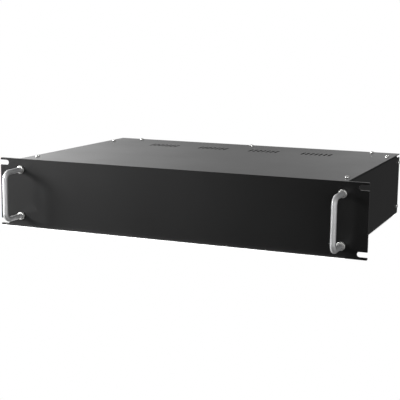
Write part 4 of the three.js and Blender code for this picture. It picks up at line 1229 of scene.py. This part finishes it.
# %% The board and its large parts
softened("main_board", 0.15, [board_green], "circuit_board")
softened("heat_sink", 0.2, [sink_metal], "extruded_aluminium")
softened("transfer_relay", 0.5, [black_plastic], "black_plastic")
softened("control_card", 0.12, [board_green], "circuit_board")
for node in ("capacitor_1", "capacitor_2"):
    low, high = corners(node)
    radius, height = (high.x - low.x) / 2 / mm, (high.z - low.z) / mm
    bm = bmesh.new()
    foot = [(0, 0), (radius - 0.6, 0), (radius, 0.6), (radius, 3)]
    groove = [(radius - 0.5, 3.6), (radius - 0.5, 4.6), (radius, 5.2)]
    rim = [(radius, height - 1), (radius - 0.7, height - 0.1), (radius - 1.6, height - 0.1)]
    top = [(radius - 1.9, height - 0.5), (0, height - 0.5)]
    turned(bm, foot + groove + rim + top, (middle(node).x, middle(node).y, low.z), "Z", 44)
    mesh = closed(bm, node)
    new_piece(f"{node}_can", mesh, [sleeve_blue, nickel], slot="capacitor_sleeve", stands_for=(node,))
    for face in mesh.polygons:
        off_axis = (Vector(face.center) - middle(node)).xy.length
        face.material_index = int(face.center.z > high.z - 0.6 * mm and off_axis < (radius - 1) * mm)
    print(node, "is", round(2 * radius), "mm across and", round(height), "mm tall")


# %% [markdown]
# The small parts between the large ones are not measured one by one: chips and little capacitors are
# scattered from a fixed seed over the free part of the board, and only where nothing larger stands.

# %% The small parts on the board
board_low, board_high = corners("main_board")


def small_parts():
    """Chips and little capacitors set on points, each kind chosen and turned at random."""
    parts = Recipe(
        "small_parts", Seed=11, Chip=0.0085, Chip_Height=1.6 * mm, Can=2.6 * mm, Can_Height=7.5 * mm,
    )
    size = parts.size
    chip = parts.node("MeshCube", Size=parts.combine(size("Chip"), size("Chip") * 0.6, size("Chip_Height")))
    chip = parts.moved(chip, z=size("Chip_Height") * 0.5)
    sides = {"Vertices": 16, "Side_Segments": 1, "Fill_Segments": 1}
    can = parts.node("MeshCylinder", Radius=size("Can"), Depth=size("Can_Height"), **sides)
    can = parts.moved(can, z=size("Can_Height") * 0.5)
    both = parts.joined(*(parts.node("GeometryToInstance", Geometry=kind) for kind in (chip, can)))
    points = parts.node("MeshToPoints", Mesh=parts.holder())
    which, quarter = (
        parts.add("FunctionNodeRandomValue", {"data_type": "INT"}, {4: 0, 5: last, "Seed": size("Seed")}, 2)
        for last in (1, 3)
    )
    turn = parts.combine(z=quarter * (math.pi / 2))
    pick = {"Pick_Instance": True, "Instance_Index": which, "Rotation": turn}
    copies = parts.node("InstanceOnPoints", Points=points, Instance=both, **pick)
    large = ["heat_sink", "capacitor_1", "capacitor_2", "transfer_relay", "control_card", *pair]
    standing = [(low, high) for low, high in map(corners, large) if low.z < board_high.z + 12 * mm]
    chance, how_many, room = random.Random(5), 46, 8 * mm
    places = []
    while len(places) < how_many:
        x = chance.uniform(board_low.x + 10 * mm, board_high.x - 10 * mm)
        y = chance.uniform(board_low.y + 12 * mm, board_high.y - 10 * mm)
        free = all(not (a.x - room < x < b.x + room and a.y - room < y < b.y + room) for a, b in standing)
        if free and all(math.hypot(x - px, y - py) > 12 * mm for px, py, pz in places):
            places.append((x, y, board_high.z + 0.02 * mm))
    return parts.run(copies, black_plastic, places)


small = small_parts()
new_piece("board_small_parts", small, [black_plastic], slot="black_plastic")
print("small parts:", len(small.polygons), "faces")


# %% [markdown]
# A few measured pieces already have their true shape, so they stay as they are and only get a finish: the
# countersunk handle screws between the panel and the case.

# %% Finishes on the pieces that stay
for node in along(("lower", "upper"), "handle_screw_left", "handle_screw_right"):
    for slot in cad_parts[node].material_slots:
        slot.material = screw_plate
    print(node, "keeps its shape")


# %% [markdown]
# The setting is a bare white studio, and everything beyond the object is seen as white. What the paint
# reflects is a different matter: black paint only looks black with dark surroundings, so for every other
# ray the room is dim. Behind the object it brightens towards the left, as beside a large window, which the
# cover mirrors.

# %% The room
def studio_world():
    world = bpy.data.worlds.new("studio")
    bpy.context.scene.world = world
    world.use_nodes = True
    tree = Tree(world.node_tree)
    strength = 2.5
    seen = tree.add("ShaderNodeLightPath")
    direction = tree.add("ShaderNodeTexCoord")
    across = direction.part("X") * 0.5 + 0.5

    def room(stops):
        greys = [(place, (level / strength,) * 3) for place, level in stops]
        return tree.add("ShaderNodeValToRGB", {"stops": greys}, {"Fac": across})

    behind = room([
        (0.0, 1.6), (0.225, 1.8), (0.275, 0.76), (0.32, 0.45), (0.365, 0.48), (0.41, 0.76), (0.475, 0.4),
        (0.56, 0.1), (0.65, 0.05), (1.0, 0.3),
    ])
    before = room([(0.0, 0.4), (0.2, 0.04), (0.8, 0.03), (0.9, 0.9), (1.0, 1.1)])
    depth = {"Value": direction.part("Y"), "From Min": -0.15, "From Max": 0.25}
    around = tree.mix(before, behind, tree.add("ShaderNodeMapRange", {"clamp": True}, depth))
    background = world.node_tree.nodes["Background"]
    white = (1 / strength,) * 3
    tree.feed(background.inputs["Color"], tree.mix(around, white, seen))
    background.inputs["Strength"].default_value = strength


studio_world()
print("world nodes:", len(bpy.context.scene.world.node_tree.nodes))


# %% [markdown]
# Two softboxes at the front left make the panel fade from left to right: a small one, whose light throws
# the handle's shadow across the panel, and a large, far one like a window. A weak one at the front right
# lights the other side of the handles. The object stands on a light table, whose glow is turned down under
# the case as a painted contact shadow.

# %% The softboxes and the light table
def softbox(name, aim_at, place, side, power, spread):
    """A square softbox. A narrow spread keeps its light on what it aims at."""
    lamp = bpy.data.lights.new(name, "AREA")
    lamp.shape = "SQUARE"
    lamp.size = side
    lamp.energy = power
    lamp.spread = math.radians(spread)
    stand = bpy.data.objects.new(name, lamp)
    bpy.context.collection.objects.link(stand)
    stand.location = place
    stand.rotation_euler = (Vector(aim_at) - Vector(place)).to_track_quat("-Z", "Y").to_euler()


def light_table():
    """A glowing sheet just larger than the case, its glow dimmed under the case as a painted contact shadow.
    """
    glass = Finish("light_table", Specular_Ior_Level=0.1, Emission_Strength=1.0)
    grain = glass.noise(900)
    place = glass.place()
    # Painted contact shadow: the glow falls from 1 to 0.3 over the case's footprint.
    painted_shadow_x = glass.ramp(place.part("X").math("ABSOLUTE"), 0.215, 0.2)
    painted_shadow_y = glass.ramp((place.part("Y") - 0.016).math("ABSOLUTE"), 0.145, 0.125)
    glass.set(Emission_Color=glass.mix((1, 1, 1), (0.3, 0.3, 0.3), painted_shadow_x * painted_shadow_y))
    frosted = glass.mix((0.86, 0.86, 0.86), (0.88, 0.88, 0.88), grain)
    glass.set(Base_Color=frosted, Roughness=0.9 + grain * 0.05)
    bm = bmesh.new()
    bmesh.ops.create_grid(bm, x_segments=8, y_segments=8, size=1)
    spread = Matrix.Translation((-0.012, 0.02, 0)) @ Matrix.Diagonal((0.228, 0.157, 1, 1))
    bmesh.ops.transform(bm, matrix=spread, verts=bm.verts)
    table = bpy.data.objects.new("light_table", mesh_from(bm, "light_table"))
    table.data.materials.append(glass.material)
    bpy.context.collection.objects.link(table)


light_table()
softbox("key_softbox", (-0.24, -0.14, 0.02), (-1.1, -0.78, 0.44), 0.36, 1.9, 32)
softbox("window_softbox", (-0.2, -0.13, 0.04), (-1.78, -2.0, 0.4), 2.4, 3.0, 70)
softbox("fill_softbox", (0.0, -0.17, 0.05), (0.75, -1.2, 0.35), 0.5, 0.8, 60)
print("softboxes:", {lamp.name: round(lamp.energy, 1) for lamp in bpy.data.lights})


# %% [markdown]
